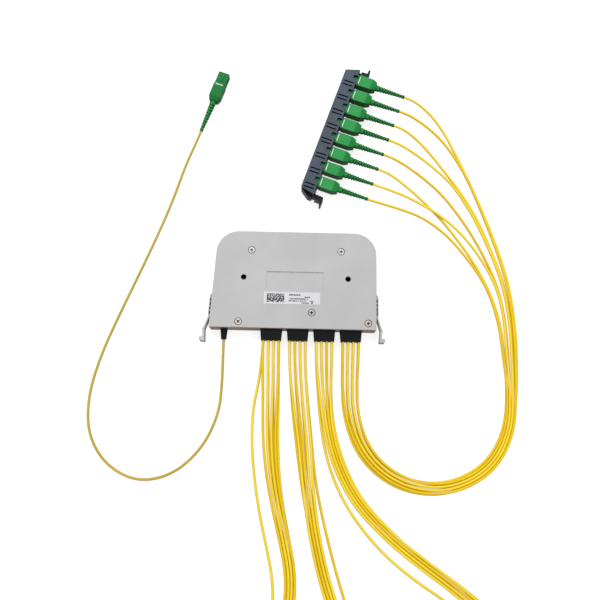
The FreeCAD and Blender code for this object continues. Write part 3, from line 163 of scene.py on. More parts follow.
# A group's common route past its boot: X, Y, pitch of its four columns, heights of its two rows.
TRUNKS = {
    1: [(-17.3, -57, 3.85, 4.6, 7.8), (-16.8, -74, 3.75, 2.2, 5.0), (-16.4, -95, 3.55, 1.05, 2.95),
        (-15.5, -117, 3.2, 1.05, 2.95), (-13.5, -139, 2.75, 1.05, 2.95), (-10, -161, 2.5, 1.05, 2.95),
        (-4.6, -185, 2.4, 1.05, 2.95), (0.5, -210, 2.4, 1.05, 2.95), (-0.5, -237, 2.4, 1.05, 2.95),
        (-12, -262, 2.4, 1.05, 2.95), (-27, -285, 2.5, 1.05, 2.95), (-41, -308, 2.9, 1.05, 3.3)],
    2: [(2.3, -57, 3.85, 4.6, 7.8), (3.4, -74, 3.75, 2.2, 5.0), (5.4, -95, 3.55, 1.05, 2.95),
        (7.8, -117, 3.2, 1.05, 2.95), (10.3, -139, 2.75, 1.05, 2.95), (13.8, -161, 2.5, 1.05, 2.95),
        (19, -186, 2.4, 1.05, 2.95), (25.8, -212, 2.4, 1.05, 2.95), (34.5, -237, 2.4, 1.05, 2.95),
        (44.5, -262, 2.5, 1.05, 2.95), (54.5, -288, 2.9, 1.05, 3.3)],
    3: [(21.9, -57, 3.85, 4.6, 7.8), (22.6, -74, 3.2, 2.2, 5.0), (24.4, -95, 2.3, 1.05, 3.1),
        (28.5, -117, 2.2, 1.05, 3.1), (36.3, -139, 2.15, 1.05, 3.1), (48.7, -161, 2.15, 1.05, 3.1),
        (69.5, -182.5, 2.3, 1.05, 3.1), (91, -199.5, 2.4, 1.05, 3.1), (114.5, -215, 2.4, 1.05, 3.1),
        (137, -232, 2.4, 1.05, 3.1), (155, -255, 2.5, 1.05, 3.1), (168, -281, 2.9, 1.05, 3.3)],
    4: [(41.35, -57, 3.8, 4.6, 7.8), (40.9, -75, 3.6, 2.2, 5.0), (42, -99, 3.3, 1.05, 3.1),
        (51.3, -125.3, 3.0, 1.05, 3.1), (72, -143.5, 2.8, 1.05, 3.1), (98, -150, 2.55, 1.05, 3.1),
        (123, -144.8, 2.35, 1.05, 3.1), (144.3, -130, 2.2, 1.05, 3.1), (157, -106.5, 2.15, 1.05, 3.1),
        (160.3, -79, 2.2, 1.05, 3.2)],
}
# How far the upper row leans off the lower one, to the right of its way, at each point.
LEANS = {
    1: (0, 0, 0.6, 1.2, 1.0, 0.3, -0.6, -1.0, -0.3, 0.7, 1.1, 0.4),
    2: (0, 0, -0.5, -1.1, -0.6, 0.4, 1.2, 1.4, 0.8, -0.2, -0.8),
    3: (0, 0, 0.4, 1.0, 1.2, 0.7, -0.2, -0.9, -0.4, 0.6, 1.1, 0.5),
    4: (0, 0, -0.6, -1.2, -0.9, -0.1, 0.8, 1.1, 0.4, -0.6),
}
# The rows' pitches as shares of their group's: the lower row lies looser than the upper. They
# apply from this point of a route on, and no pitch is less than this.
ROW_SHARES = (1.07, 0.92)
FIRST_SHARED = 2
LEAST_PITCH = 2.04
# A lower cord that strays from its group: its column, and how far it stands out at each point.
STRAYS = {
    1: (0, (0.5, 3, 7.2, 8.8, 9.1, 9.3, 9, 8, 6.5, 5, 4, 3)),
    2: (3, (0, 0, 0.3, 1.0, 1.6, 2.4, 3.6, 4.2, 4, 3.5, 3)),
    3: (0, (0, 0.5, 1.6, 2.9, 4.4, 5.4, 7.4, 7.5, 6.8, 5.2, 4, 3)),
}
# The column and row (0 below, 1 above) that each cord leaves its boot from, in the first three
# groups and in the last.
ORDER = {1: (0, 0), 2: (0, 1), 3: (1, 0), 4: (1, 1), 5: (2, 0), 6: (2, 1), 7: (3, 0), 8: (3, 1)}
LAST_ORDER = {1: (0, 0), 2: (0, 1), 3: (1, 0), 4: (1, 1), 5: (2, 0), 7: (2, 1), 6: (3, 0), 8: (3, 1)}
# How a cord spreads from its trunk's end to its plug: share of the way, of the shift, and its rise.
FAN = ((0.28, 0.16, 0.2), (0.56, 0.50, 0.5), (0.84, 0.88, 1.6))
# The last group's cords, from the end of their trunk to their plugs, and the two rows' heights.
SPREAD = {
    1: [(165.4, -51), (164.6, -23), (161, 5), (153.6, 32), (143.6, 60), (132.6, 88), (122.6, 110.5),
        (115.5, 125.3), (106.5, 138.2), (97, 146.7)],
    2: [(163.6, -51), (162.6, -23), (159, 5), (151.6, 32), (142, 60), (131.8, 87), (121.5, 106),
        (112.5, 118.3), (103, 127.6), (93, 134.6)],
    3: [(162.2, -51), (161.6, -25), (158, 2), (148.8, 30), (138, 57), (123.5, 81), (113.5, 94.8),
        (105, 106), (97, 115), (88.3, 122.2)],
    4: [(160.6, -51), (160.1, -25), (156.2, 2), (147, 29.5), (135.7, 55.5), (123, 77.2), (114.8, 86.7),
        (105.5, 95.1), (95, 103.3), (85, 109.8)],
    5: [(158.6, -51), (157.6, -25), (153, 1), (142.5, 26.5), (129.4, 50.5), (113.4, 72.8), (101, 84.3),
        (90.5, 92.2), (81, 97.8)],
    7: [(157, -51), (156.3, -25), (152, -1), (141.5, 20.5), (126.5, 41.5), (108, 57.5), (91.5, 66.5),
        (80.5, 71.5)],
    6: [(155.8, -51), (153.5, -25), (145.5, 0), (133, 23.5), (117.5, 45.5), (103, 62.5), (94, 71.2),
        (85, 78.8), (75.8, 85.3)],
    8: [(154.2, -51), (151.6, -25), (144, 0), (132, 19), (116, 39), (97.5, 53), (80.3, 59.2)],
}
UPPER_HEIGHT = 3.3
LOWER_HEIGHT = 1.05
# How much of the way up to their plug's axis the last three points of these have risen.
LAST_RISES = (0.06, 0.25, 0.6)
# The input cord from its boot to the straight piece behind its plug.
INPUT_ROUTE = [(-52.2, -57, 6.1), (-52.3, -75, 2.6), (-53.7, -99, 1.05), (-65, -124.5, 1.05),
               (-85.5, -143.3, 1.05), (-110.5, -148.3, 1.05), (-134, -136.6, 1.05), (-148, -115, 1.05),
               (-150, -88, 1.05), (-143, -57, 1.05), (-129, -20, 1.05), (-113, 20, 1.05), (-98, 61, 1.05),
               (-89, 93, 1.6)]


def turned(degrees, axis="Z"):
    """A turn about an axis through the origin."""
    return Matrix.Rotation(math.radians(degrees), 4, axis)


def plug_place(group, number):
    """The frame of one plug in its holder, in millimetres."""
    x, y, degrees = ROWS[group]
    seat = Vector((0, -(number - 1) * HOLDER_PITCH, PLUG_AXIS_HEIGHT))
    return Matrix.Translation((x, y, 0)) @ turned(degrees) @ Matrix.Translation(seat)


def input_plug_place():
    """The frame of the input plug, in millimetres."""
    x, y, degrees = INPUT_PLUG
    return Matrix.Translation((x, y, INPUT_PLUG_HEIGHT)) @ turned(degrees)


def boot_exit(group, column, row):
    """Where a cord leaves its boot."""
    x = FIRST_BOOT_X + (group - 1) * BOOT_PITCH + (column - MIDDLE_COLUMN) * COLUMN_PITCH
    return Vector((x, CORD_START_Y, BOOT_AXIS_HEIGHT + (row - MIDDLE_ROW) * ROW_PITCH))


def trunk_points(group, column, row):
    """One cord's points from its boot along its group's common route."""
    trunk = TRUNKS[group]
    stray_column, stray = STRAYS.get(group, (None, None))
    points = [boot_exit(group, column, row)]
    middle = (boot_exit(group, 0, row) + boot_exit(group, 3, row)) / 2
    for index, (x, y, pitch, low, high) in enumerate(trunk):
        before = trunk[index - 1] if index else middle
        after = trunk[min(index + 1, len(trunk) - 1)]
        heading = Vector((after[0] - before[0], after[1] - before[1], 0)).normalized()
        right = Vector((heading.y, -heading.x, 0))
        if index >= FIRST_SHARED:
            pitch = max(pitch * ROW_SHARES[row], LEAST_PITCH)
        shift = (MIDDLE_COLUMN - column) * pitch
        if row == 1:
            shift += LEANS[group][index]
        if row == 0 and column == stray_column:
            shift += stray[index] if column == 0 else -stray[index]
        points.append(Vector((x, y, high if row else low)) + right * shift)
    return points


def last_group_end(number, row, lead):
    """The points of one of the last group's cords from its trunk to its lead."""
    height = UPPER_HEIGHT if row else LOWER_HEIGHT
    points = [Vector((x, y, height)) for x, y in SPREAD[number]]
    for point, share in zip(points[-3:], LAST_RISES):
        point.z += (lead.z - height) * share
    return points


def fanned_end(last, lead, way):
    """The points of a cord that fans out from its trunk's last point to its lead."""
    gap = lead - last
    along = way * gap.dot(way)
    aside = gap - along
    points = []
    for forward, shift, rise in FAN:
        point = last + along * forward + aside * shift
        point.z = last.z + rise
        points.append(point)
    return points


def cord_points(group, number):
    """One output cord's route from its boot to its plug."""
    in_last = group == GROUPS
    column, row = (LAST_ORDER if in_last else ORDER)[number]
    points = trunk_points(group, column, row)
    place = plug_place(group, number)
    end = place @ Vector((BOOT_END, 0, 0))
    lead = place @ Vector((BOOT_END + (LAST_LEAD if in_last else LEAD), 0, 0))
    if in_last:
        return points + last_group_end(number, row, lead) + [lead, end]
    way = place.to_3x3() @ Vector((-1, 0, 0))
    return points + fanned_end(points[-1], lead, way) + [lead, end]


def input_points():
    """The input cord's route from its boot to its plug."""
    place = input_plug_place()
    ends = [place @ Vector((INPUT_BOOT_END + LEAD, 0, 0)), place @ Vector((INPUT_BOOT_END, 0, 0))]
    return [Vector(point) for point in [INPUT_START] + INPUT_ROUTE] + ends


# ---------------------------------------------------------------- building shader nodes

def colour(red, green, blue):
    """A shader colour from the 0 to 255 values that it shows as."""
    linear = [((v / 255 + 0.055) / 1.055) ** 2.4 if v > 10 else v / 255 / 12.92 for v in (red, green, blue)]
    return (*linear, 1.0)


def fill(tree, made, inputs):
    """Links or sets a node's inputs, by name or number."""
    for name, source in inputs.items():
        if isinstance(source, bpy.types.NodeSocket):
            tree.links.new(source, made.inputs[name])
        else:
            made.inputs[name].default_value = source


def node(tree, kind, inputs=None, **settings):
    """A shader node with its settings made and its inputs filled."""
    made = tree.nodes.new(f"ShaderNode{kind}")
    for name, setting in settings.items():
        setattr(made, name, setting)
    fill(tree, made, inputs or {})
    return made


def maths(tree, operation, first, second=0.5):
    return node(tree, "Math", {0: first, 1: second}, operation=operation).outputs[0]


def remap(tree, source, low, high, to_low=0.0, to_high=1.0):
    inputs = {"Value": source, "From Min": low, "From Max": high, "To Min": to_low, "To Max": to_high}
    return node(tree, "MapRange", inputs).outputs["Result"]


def blend_colours(tree, factor, first, second):
    """A mix of two colours, by the numbers of the Mix node's colour sockets."""
    return node(tree, "Mix", {0: factor, 6: first, 7: second}, data_type="RGBA").outputs[2]


def noise(tree, vector, scale, detail=2.0, roughness=0.5):
    inputs = {"Vector": vector, "Scale": scale, "Detail": detail, "Roughness": roughness}
    return node(tree, "TexNoise", inputs).outputs["Fac"]


def place_on(tree):
    """A surface point's place, which is in the object's frame."""
    return node(tree, "TexCoord").outputs["Object"]


def split(tree, vector):
    return node(tree, "SeparateXYZ", {"Vector": vector}).outputs


def facing(tree, axis):
    """How far a surface faces along an axis, from -1 to 1."""
    return split(tree, node(tree, "NewGeometry").outputs["Normal"])[axis]


def effect(name, inputs, outputs):
    """A node group with named sockets, and its input and output sockets to link to."""
    tree = bpy.data.node_groups.new(name, "ShaderNodeTree")
    for label, kind in inputs:
        tree.interface.new_socket(label, in_out="INPUT", socket_type=f"NodeSocket{kind}")
    for label, kind in outputs:
        tree.interface.new_socket(label, in_out="OUTPUT", socket_type=f"NodeSocket{kind}")
    return tree, tree.nodes.new("NodeGroupInput").outputs, tree.nodes.new("NodeGroupOutput").inputs


def use(tree, group, **values):
    """Places an effect in a material. Underscores in a value's name stand for spaces."""
    made = tree.nodes.new("ShaderNodeGroup")
    made.node_tree = group
    fill(tree, made, {name.replace("_", " "): source for name, source in values.items()})
    return made.outputs


def material(name):
    """A new material, its node tree and its surface shader."""
    made = bpy.data.materials.new(name)
    made.use_nodes = True
    return made, made.node_tree, made.node_tree.nodes["Principled BSDF"]


# ---------------------------------------------------------------- making pieces

def solid_piece(name, shape, finish, body):
    """A finished shape as a piece that rides on a body."""
    mesh = bpy.data.meshes.new(name)
    shape.to_mesh(mesh)
    shape.free()
    mesh.materials.append(finish)
    piece = bpy.data.objects.new(name, mesh)
    scene.collection.objects.link(piece)
    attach(piece, body)
    return piece


# ---------------------------------------------------------------- shared effects

def moulded_surface():
    """Uneven tone, uneven roughness and fine spark-eroded grain of a moulding."""
    tree, given, out = effect(
        "moulded surface",
        [("Colour", "Color"), ("Shade", "Color"), ("Grain Scale", "Float"), ("Roughness Low", "Float"),
         ("Roughness High", "Float")],
        [("Colour", "Color"), ("Roughness", "Float"), ("Height", "Float")])
    where = place_on(tree)
    cloud = noise(tree, where, 38.0, detail=3.0, roughness=0.55)
    speck = noise(tree, where, given["Grain Scale"], detail=3.0, roughness=0.6)
    tone = maths(tree, "ADD", maths(tree, "MULTIPLY", cloud, 0.75), maths(tree, "MULTIPLY", speck, 0.25))
    factor = remap(tree, tone, 0.38, 0.64)
    tree.links.new(blend_colours(tree, factor, given["Colour"], given["Shade"]), out["Colour"])
    rub = noise(tree, where, 120.0, detail=4.0, roughness=0.6)
    rough = remap(tree, rub, 0.3, 0.7, given["Roughness Low"], given["Roughness High"])
    tree.links.new(rough, out["Roughness"])
    tree.links.new(speck, out["Height"])
    return tree


def painted_side_shade():
    """Painted shade: one colour on what faces up, and another, darker one painted on what stands upright or
    faces down.
    """
    tree, given, out = effect(
        "painted side shade", [("Top", "Color"), ("Side", "Color"), ("Low", "Float"), ("High", "Float")],
        [("Colour", "Color")])
    # Painted shade: the surface turns to the darker side colour as it turns away from up.
    up = remap(tree, facing(tree, "Z"), given["Low"], given["High"])
    tree.links.new(blend_colours(tree, up, given["Side"], given["Top"]), out["Colour"])
    return tree


def edge_wear_and_glint():
    """The rounded upper edges, lighter in patches: wear from handling, and where the plugs use it a painted
    glint.
    """
    tree, given, out = effect(
        "rubbed edges", [("Colour", "Color"), ("Edge", "Color"), ("Amount", "Float")],
        [("Colour", "Color")])
    slope = facing(tree, "Z")
    band = maths(tree, "MULTIPLY", remap(tree, slope, 0.15, 0.45), remap(tree, slope, 0.96, 0.8))
    cloud = noise(tree, place_on(tree), 90.0, detail=3.0, roughness=0.6)
    patches = remap(tree, cloud, 0.35, 0.6, to_low=0.35)
    # Wear, and on the plugs a painted glint, on the partly upward-facing rounded edges.
    mask = maths(tree, "MULTIPLY", maths(tree, "MULTIPLY", band, patches), given["Amount"])
    tree.links.new(blend_colours(tree, mask, given["Colour"], given["Edge"]), out["Colour"])
    return tree


def settled_dust():
    """Fine dust and lint on what faces up."""
    tree, given, out = effect(
        "settled dust", [("Colour", "Color"), ("Dust", "Color"), ("Amount", "Float")],
        [("Colour", "Color")])
    where = place_on(tree)
    motes = remap(tree, noise(tree, where, 1400.0), 0.6, 0.72)
    film = remap(tree, noise(tree, where, 26.0, detail=4.0, roughness=0.65), 0.4, 0.7)
    both = maths(tree, "ADD", maths(tree, "MULTIPLY", motes, 0.6), maths(tree, "MULTIPLY", film, 0.4))
    up = remap(tree, facing(tree, "Z"), 0.5, 0.95)
    mask = maths(tree, "MULTIPLY", maths(tree, "MULTIPLY", both, up), given["Amount"])
    tree.links.new(blend_colours(tree, mask, given["Colour"], given["Dust"]), out["Colour"])
    return tree


def hair_scratches():
    """Long hair-fine scratches lying two ways."""
    tree, given, out = effect("hair scratches", [("Fineness", "Float")], [("Mask", "Float")])
    masks = []
    for turn in (0.5, -0.9):
        laid = node(tree, "Mapping", {"Vector": place_on(tree), "Rotation": (0, 0, turn),
                                      "Scale": (0.035, 1.0, 1.0)}).outputs["Vector"]
        masks.append(remap(tree, noise(tree, laid, given["Fineness"]), 0.69, 0.75))
    tree.links.new(maths(tree, "MAXIMUM", *masks), out["Mask"])
    return tree


def below_height():
    """What lies lower than a height."""
    tree, given, out = effect(
        "below a height", [("Height", "Float"), ("Blur", "Float")], [("Mask", "Float")])
    height = split(tree, place_on(tree))["Z"]
    gap = maths(tree, "SUBTRACT", given["Height"], height)
    tree.links.new(remap(tree, maths(tree, "DIVIDE", gap, given["Blur"]), 0.0, 1.0), out["Mask"])
    return tree


def printed_bar():
    """A rectangle of a flat pattern, given by its middle and size."""
    tree, given, out = effect(
        "printed bar", [("Vector", "Vector"), ("Middle", "Vector"), ("Width", "Float"), ("Depth", "Float")],
        [("Mask", "Float")])
    off = node(tree, "VectorMath", {0: given["Vector"], 1: given["Middle"]}, operation="SUBTRACT")
    parts = split(tree, off.outputs["Vector"])
    sides = []
    for axis, size in (("X", "Width"), ("Y", "Depth")):
        half = maths(tree, "MULTIPLY", given[size], 0.5)
        sides.append(maths(tree, "LESS_THAN", maths(tree, "ABSOLUTE", parts[axis]), half))
    tree.links.new(maths(tree, "MULTIPLY", *sides), out["Mask"])
    return tree


def round_spot():
    """What lies nearer than a radius to an upright line."""
    tree, given, out = effect("round spot", [("Middle", "Vector"), ("Radius", "Float")], [("Mask", "Float")])
    flat = node(tree, "VectorMath", {0: place_on(tree), 1: (1, 1, 0)}, operation="MULTIPLY").outputs["Vector"]
    gap = node(tree, "VectorMath", {0: flat, 1: given["Middle"]}, operation="DISTANCE").outputs["Value"]
    tree.links.new(maths(tree, "LESS_THAN", gap, given["Radius"]), out["Mask"])
    return tree


MOULDED = moulded_surface()
SIDE_SHADE = painted_side_shade()
WEAR_AND_GLINT = edge_wear_and_glint()
DUST = settled_dust()
SCRATCHES = hair_scratches()
BELOW = below_height()
BAR = printed_bar()
SPOT = round_spot()


# ---------------------------------------------------------------- finishes

def moulded(tree, base, shade, grain, low, high):
    """A moulding's surface from its two tones, its grain's scale and its least and most roughness."""
    return use(tree, MOULDED, Colour=colour(*base), Shade=colour(*shade), Grain_Scale=grain,
               Roughness_Low=low, Roughness_High=high)


def below(tree, height, blur):
    """What lies lower than a height, both in millimetres."""
    return use(tree, BELOW, Height=height * MM, Blur=blur * MM)["Mask"]


def near(tree, x, y, radius):
    """What lies nearer than a radius to an upright line, in millimetres."""
    return use(tree, SPOT, Middle=(x * MM, y * MM, 0), Radius=radius * MM)["Mask"]


def inside(tree, vector, bar):
    """What lies in a rectangle: its middle X and Y, width and depth, in millimetres."""
    x, y, width, depth = bar
    placed = use(tree, BAR, Vector=vector, Middle=(x * MM, y * MM, 0), Width=width * MM, Depth=depth * MM)
    return placed["Mask"]


def connect(tree, surface, shown, parts, shine, depth=0.04, strength=0.35, scratches=None):
    """Feeds the shader its colour and roughness, and a bump whose depth is in millimetres."""
    height = parts["Height"]
    rough = parts["Roughness"]
    if scratches:
        height = maths(tree, "SUBTRACT", height, scratches)
        rough = maths(tree, "ADD", rough, maths(tree, "MULTIPLY", scratches, 0.15))
    bump = node(tree, "Bump", {"Height": height, "Distance": depth * MM, "Strength": strength})
    fill(tree, surface, {"Base Color": shown, "Roughness": rough, "Normal": bump.outputs["Normal"],
                         "Specular IOR Level": shine})


def shell_plastic():
    """Light grey shells with a dark seam; painted warm shade on the cable face, and painted shadow in the
    bores and round the screw seats.
    """
    made, tree, surface = material("shell plastic")
    parts = moulded(tree, (199, 199, 200), (193, 192, 193), 2600.0, 0.42, 0.58)
    shown = use(tree, WEAR_AND_GLINT, Colour=parts["Colour"], Edge=colour(214, 214, 214), Amount=0.6)["Colour"]
    shown = use(tree, DUST, Colour=shown, Dust=colour(186, 184, 180), Amount=0.35)["Colour"]
    scratches = use(tree, SCRATCHES, Fineness=900.0)["Mask"]
    # Painted shade and reflection: a warm brownish tone on the faces that look towards -Y, the cable face.
    cable_face_shade = remap(tree, facing(tree, "Y"), -0.5, -0.9)
    shown = blend_colours(tree, cable_face_shade, shown, colour(132, 112, 100))
    upper = below(tree, SEAM_HEIGHT + SEAM_HALF, 0.02)
    lower = below(tree, SEAM_HEIGHT - SEAM_HALF, 0.02)
    seam = maths(tree, "SUBTRACT", upper, lower)
    shown = blend_colours(tree, maths(tree, "MULTIPLY", seam, 0.75), shown, colour(84, 78, 74))
    sunk = below(tree, CASE_HEIGHT - CASE_SKIN, 0.05)
    # Painted shadow in the sunk screw seats and a little past them.
    for x, y, _ in SCREWS:
        seat = maths(tree, "MULTIPLY", near(tree, x, y, SEAT_RADIUS + SEAT_RIM), sunk)
        shown = blend_colours(tree, seat, shown, colour(92, 80, 72))
    x, y = MOUNT_HOLE
    # Painted shadow: near black in the mounting bores and on a thin ring round them.
    for side in (-1, 1):
        bore = near(tree, side * x, y, MOUNT_RADIUS + BORE_RIM)
        shown = blend_colours(tree, bore, shown, colour(10, 10, 12))
    connect(tree, surface, shown, parts, shine=0.15, scratches=scratches)
    return made


def latch_plastic():
    """Latch plastic, with painted shade deeper in tone down its sides and in its cells."""
    made, tree, surface = material("latch plastic")
    parts = moulded(tree, (198, 197, 194), (184, 182, 178), 2600.0, 0.4, 0.55)
    shown = use(tree, WEAR_AND_GLINT, Colour=parts["Colour"], Edge=colour(222, 221, 218), Amount=0.5)["Colour"]
    # Painted shade: darker down the latches' sides and in their cells, below their top.
    low = maths(tree, "MULTIPLY", below(tree, LATCH_TOP - LATCH_SKIN, 1.2), 0.8)
    shown = blend_colours(tree, low, shown, colour(104, 98, 94))
    connect(tree, surface, shown, parts, shine=0.3)
    return made


def screw_steel():
    """Bright plated heads, with painted shade dark in the cross recess."""
    made, tree, surface = material("plated steel")
    parts = moulded(tree, (222, 217, 212), (196, 190, 184), 900.0, 0.22, 0.38)
    scratches = use(tree, SCRATCHES, Fineness=2600.0)["Mask"]
    # Painted shade in the cross recess, below the head's top.
    recess_shade = below(tree, SCREW_TOP - HEAD_SKIN, 0.1)
    shown = blend_colours(tree, recess_shade, parts["Colour"], colour(52, 40, 34))
    surface.inputs["Metallic"].default_value = 0.35
    connect(tree, surface, shown, parts, shine=0.5, depth=0.03, strength=0.3, scratches=scratches)
    return made


def label_paper():
    """A white label printed with a field of cells and short generic bars."""
    made, tree, surface = material("label paper")
    parts = moulded(tree, (226, 225, 228), (219, 218, 221), 3000.0, 0.45, 0.6)
    where = place_on(tree)
    ink = None
    for bar in PRINT_BARS:
        printed = inside(tree, where, bar)
        ink = printed if ink is None else maths(tree, "MAXIMUM", ink, printed)
    strokes = node(tree, "Mapping", {"Vector": where, "Scale": (1.0, 0.25, 0.0)}).outputs["Vector"]
    broken = remap(tree, noise(tree, strokes, 2300.0, detail=1.0), 0.38, 0.46)
    ink = maths(tree, "MULTIPLY", ink, broken)
    field = inside(tree, where, CODE_FIELD)
    snapped = node(tree, "VectorMath", {0: where, 1: (CELL * MM, CELL * MM, 1.0)}, operation="SNAP")
    chance = node(tree, "TexWhiteNoise", {"Vector": snapped.outputs["Vector"]}).outputs["Value"]
    cells = maths(tree, "MULTIPLY", field, maths(tree, "GREATER_THAN", chance, BLANK_CELLS))
    ink = maths(tree, "MULTIPLY", maths(tree, "MAXIMUM", ink, cells), 0.92)
    shown = blend_colours(tree, ink, parts["Colour"], colour(44, 42, 46))
    connect(tree, surface, shown, parts, shine=0.3, depth=0.02, strength=0.2)
    return made


def row_place(tree, row, pitch):
    """Where a point lies in its own plug's frame: along the plug, and aside from its axis."""
    x, y, degrees = row
    laid = node(tree, "Mapping", {"Vector": place_on(tree), "Location": (x * MM, y * MM, 0),
                                  "Rotation": (0, 0, math.radians(degrees))}, vector_type="TEXTURE")
    parts = split(tree, laid.outputs["Vector"])
    half = pitch / 2 * MM
    return parts["X"], node(tree, "Math", {0: parts["Y"], 1: half, 2: -half}, operation="WRAP").outputs[0]


def green_plug(name, row, pitch, rib_pitch, top, shade, side, groove_shade_green):
    """Plug green in one row's own frame: a pale line at the step and a deeper strain relief, with painted
    shade on the sides, the grip's tapered end and the relief's grooves, and a painted glint on the grip's
    rear edges.
    """
    made, tree, surface = material(name)
    parts = moulded(tree, top, shade, 1500.0, 0.3, 0.45)
    along, aside = row_place(tree, row, pitch)
    flat = node(tree, "CombineXYZ", {"X": along, "Y": aside}).outputs["Vector"]
    tail_start, tail_end = TAIL_SHADE
    # Painted shade: the grip's tapered end turns a deeper green.
    tail_shade = remap(tree, along, tail_start * MM, tail_end * MM, to_high=0.6)
    skin = blend_colours(tree, tail_shade, parts["Colour"], colour(24, 112, 48))
    relief = maths(tree, "GREATER_THAN", along, RELIEF_START * MM)
    past = maths(tree, "DIVIDE", maths(tree, "SUBTRACT", along, RIBS_START * MM), rib_pitch * MM)
    # Painted shade in the relief's grooves, a deeper green between the ribs.
    groove_shade = maths(tree, "GREATER_THAN", maths(tree, "FRACT", past), 1 - GROOVE / rib_pitch)
    sleeve = maths(tree, "LESS_THAN", past, 0.0)
    groove_shade = maths(tree, "MULTIPLY", groove_shade, maths(tree, "SUBTRACT", 1.0, sleeve))
    ribbed = blend_colours(tree, groove_shade, colour(56, 142, 74), colour(*groove_shade_green))
    skin = blend_colours(tree, relief, skin, ribbed)
    # Painted shade: a darker green on the sides, darker still on the relief.
    shaded_under = blend_colours(tree, relief, colour(*side), colour(10, 72, 26))
    shown = use(tree, SIDE_SHADE, Top=skin, Side=shaded_under, Low=0.1, High=0.85)["Colour"]
    wear_and_glint = use(tree, WEAR_AND_GLINT, Colour=shown, Edge=colour(190, 232, 202), Amount=0.8)
    # Painted glint: paler rounded grip edges, only where they face +Y, towards the lamps.
    grip = maths(tree, "SUBTRACT", 1.0, relief)
    rear_glint = maths(tree, "MULTIPLY", grip, remap(tree, facing(tree, "Y"), 0.0, 0.35))
    shown = blend_colours(tree, rear_glint, shown, wear_and_glint["Colour"])
    up = remap(tree, facing(tree, "Z"), 0.3, 0.6)
    line = maths(tree, "MULTIPLY", inside(tree, flat, STEP_LINE), up)
    shown = blend_colours(tree, line, shown, colour(228, 240, 232))
    connect(tree, surface, shown, parts, shine=0.04)
    return made


def side_shaded_moulding(name, top, top_shade, side, grain, low, high, edge=None, shine=0.3, glow=0.0):
    """A moulding whose upright sides are painted deeper in tone than its top, as painted shade."""
    made, tree, surface = material(name)
    parts = moulded(tree, top, top_shade, grain, low, high)
    shown = use(tree, SIDE_SHADE, Top=parts["Colour"], Side=colour(*side), Low=0.05, High=0.9)["Colour"]
    if edge:
        shown = use(tree, WEAR_AND_GLINT, Colour=shown, Edge=colour(*edge), Amount=0.5)["Colour"]
    # A painted glow in the top colour, as strong as given.
    fill(tree, surface, {"Emission Color": colour(*top), "Emission Strength": glow})
    connect(tree, surface, shown, parts, shine)
    return made


def jacket(name, top, top_shade, side, glow=0.06):
    """A cord's jacket, with painted shade on its sides and a faint painted glow that stands for light
    scattered inside it.
    """
    return side_shaded_moulding(name, top, top_shade, side, 1800.0, 0.35, 0.5, shine=0.15, glow=glow)


def holder_plastic():
    """Slate on the holders' very top, and near black lower down and in the slots: the black ends, and painted
    shade on the sides and in the slots.
    """
    made, tree, surface = material("slate plastic")
    parts = moulded(tree, (74, 86, 100), (68, 76, 86), 1800.0, 0.45, 0.6)
    shown = use(tree, DUST, Colour=parts["Colour"], Dust=colour(112, 120, 130), Amount=0.3)["Colour"]
    # Painted shade below the top, which on the holders' ends is their own black.
    shown = blend_colours(tree, below(tree, HOLDER_HEIGHT - HOLDER_SKIN, 0.1), shown, colour(18, 21, 27))
    connect(tree, surface, shown, parts, shine=0.2)
    return made


FINISHES = {
    "case": shell_plastic(),
    "screw": screw_steel(),
    "latch": latch_plastic(),
    "boot": side_shaded_moulding("black rubber", (17, 20, 23), (12, 14, 17), (8, 10, 12), 1800.0, 0.5, 0.65,
                     edge=(34, 38, 42), shine=0.15),
    "label": label_paper(),
    "chip": side_shaded_moulding("chip housing", (126, 130, 134), (114, 118, 122), (92, 96, 100), 2200.0, 0.4, 0.5),
    "fibre": side_shaded_moulding("fibre ribbon", (196, 210, 224), (180, 198, 214), (150, 168, 186), 2200.0, 0.3, 0.4),
    "plug_inner": side_shaded_moulding("ivory body", (232, 226, 200), (222, 214, 186), (196, 186, 154), 1500.0,
                           0.35, 0.5),
    "ferrule": side_shaded_moulding("ceramic ferrule", (238, 236, 230), (231, 228, 220), (214, 210, 202), 1500.0,
                        0.15, 0.25),
    "holder": holder_plastic(),
    "cord": jacket("yellow jacket", (251, 226, 64), (245, 216, 48), (222, 170, 4)),
}
DEEPER_YELLOW = jacket("deeper yellow jacket", (244, 208, 30), (238, 198, 20), (210, 156, 0))
OLIVE_YELLOW = jacket("olive yellow jacket", (208, 182, 74), (196, 170, 62), (172, 136, 30), glow=0.05)
PLUG_GREENS = {
    group: green_plug(f"plug green row {group}", row, HOLDER_PITCH, RIB_PITCH, top=(64, 162, 90),
                      shade=(54, 148, 80), side=(10, 84, 28), groove_shade_green=(20, 90, 36))
    for group, row in ROWS.items()
}
PLUG_GREENS["input"] = green_plug("plug green input", INPUT_PLUG, ALONE, INPUT_RIB_PITCH, top=(46, 134, 72),
                                  shade=(38, 122, 62), side=(18, 92, 32), groove_shade_green=(36, 114, 56))


def plug_green(node_name):
    """The green of the row that a plug node is in."""
    if node_name.startswith("input_plug"):
        return PLUG_GREENS["input"]
    if node_name.startswith("parked_plugs_"):
        return PLUG_GREENS[int(node_name[-1])]
    return PLUG_GREENS[GROUPS]


def finish_nodes():
    """Gives every CAD node the finish of its material slots."""
    for name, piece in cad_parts.items():
        for place in piece.material_slots:
            slot = place.material.name
            place.material = plug_green(name) if slot in ("plug", "relief") else FINISHES[slot]


finish_nodes()


# ---------------------------------------------------------------- cover screws

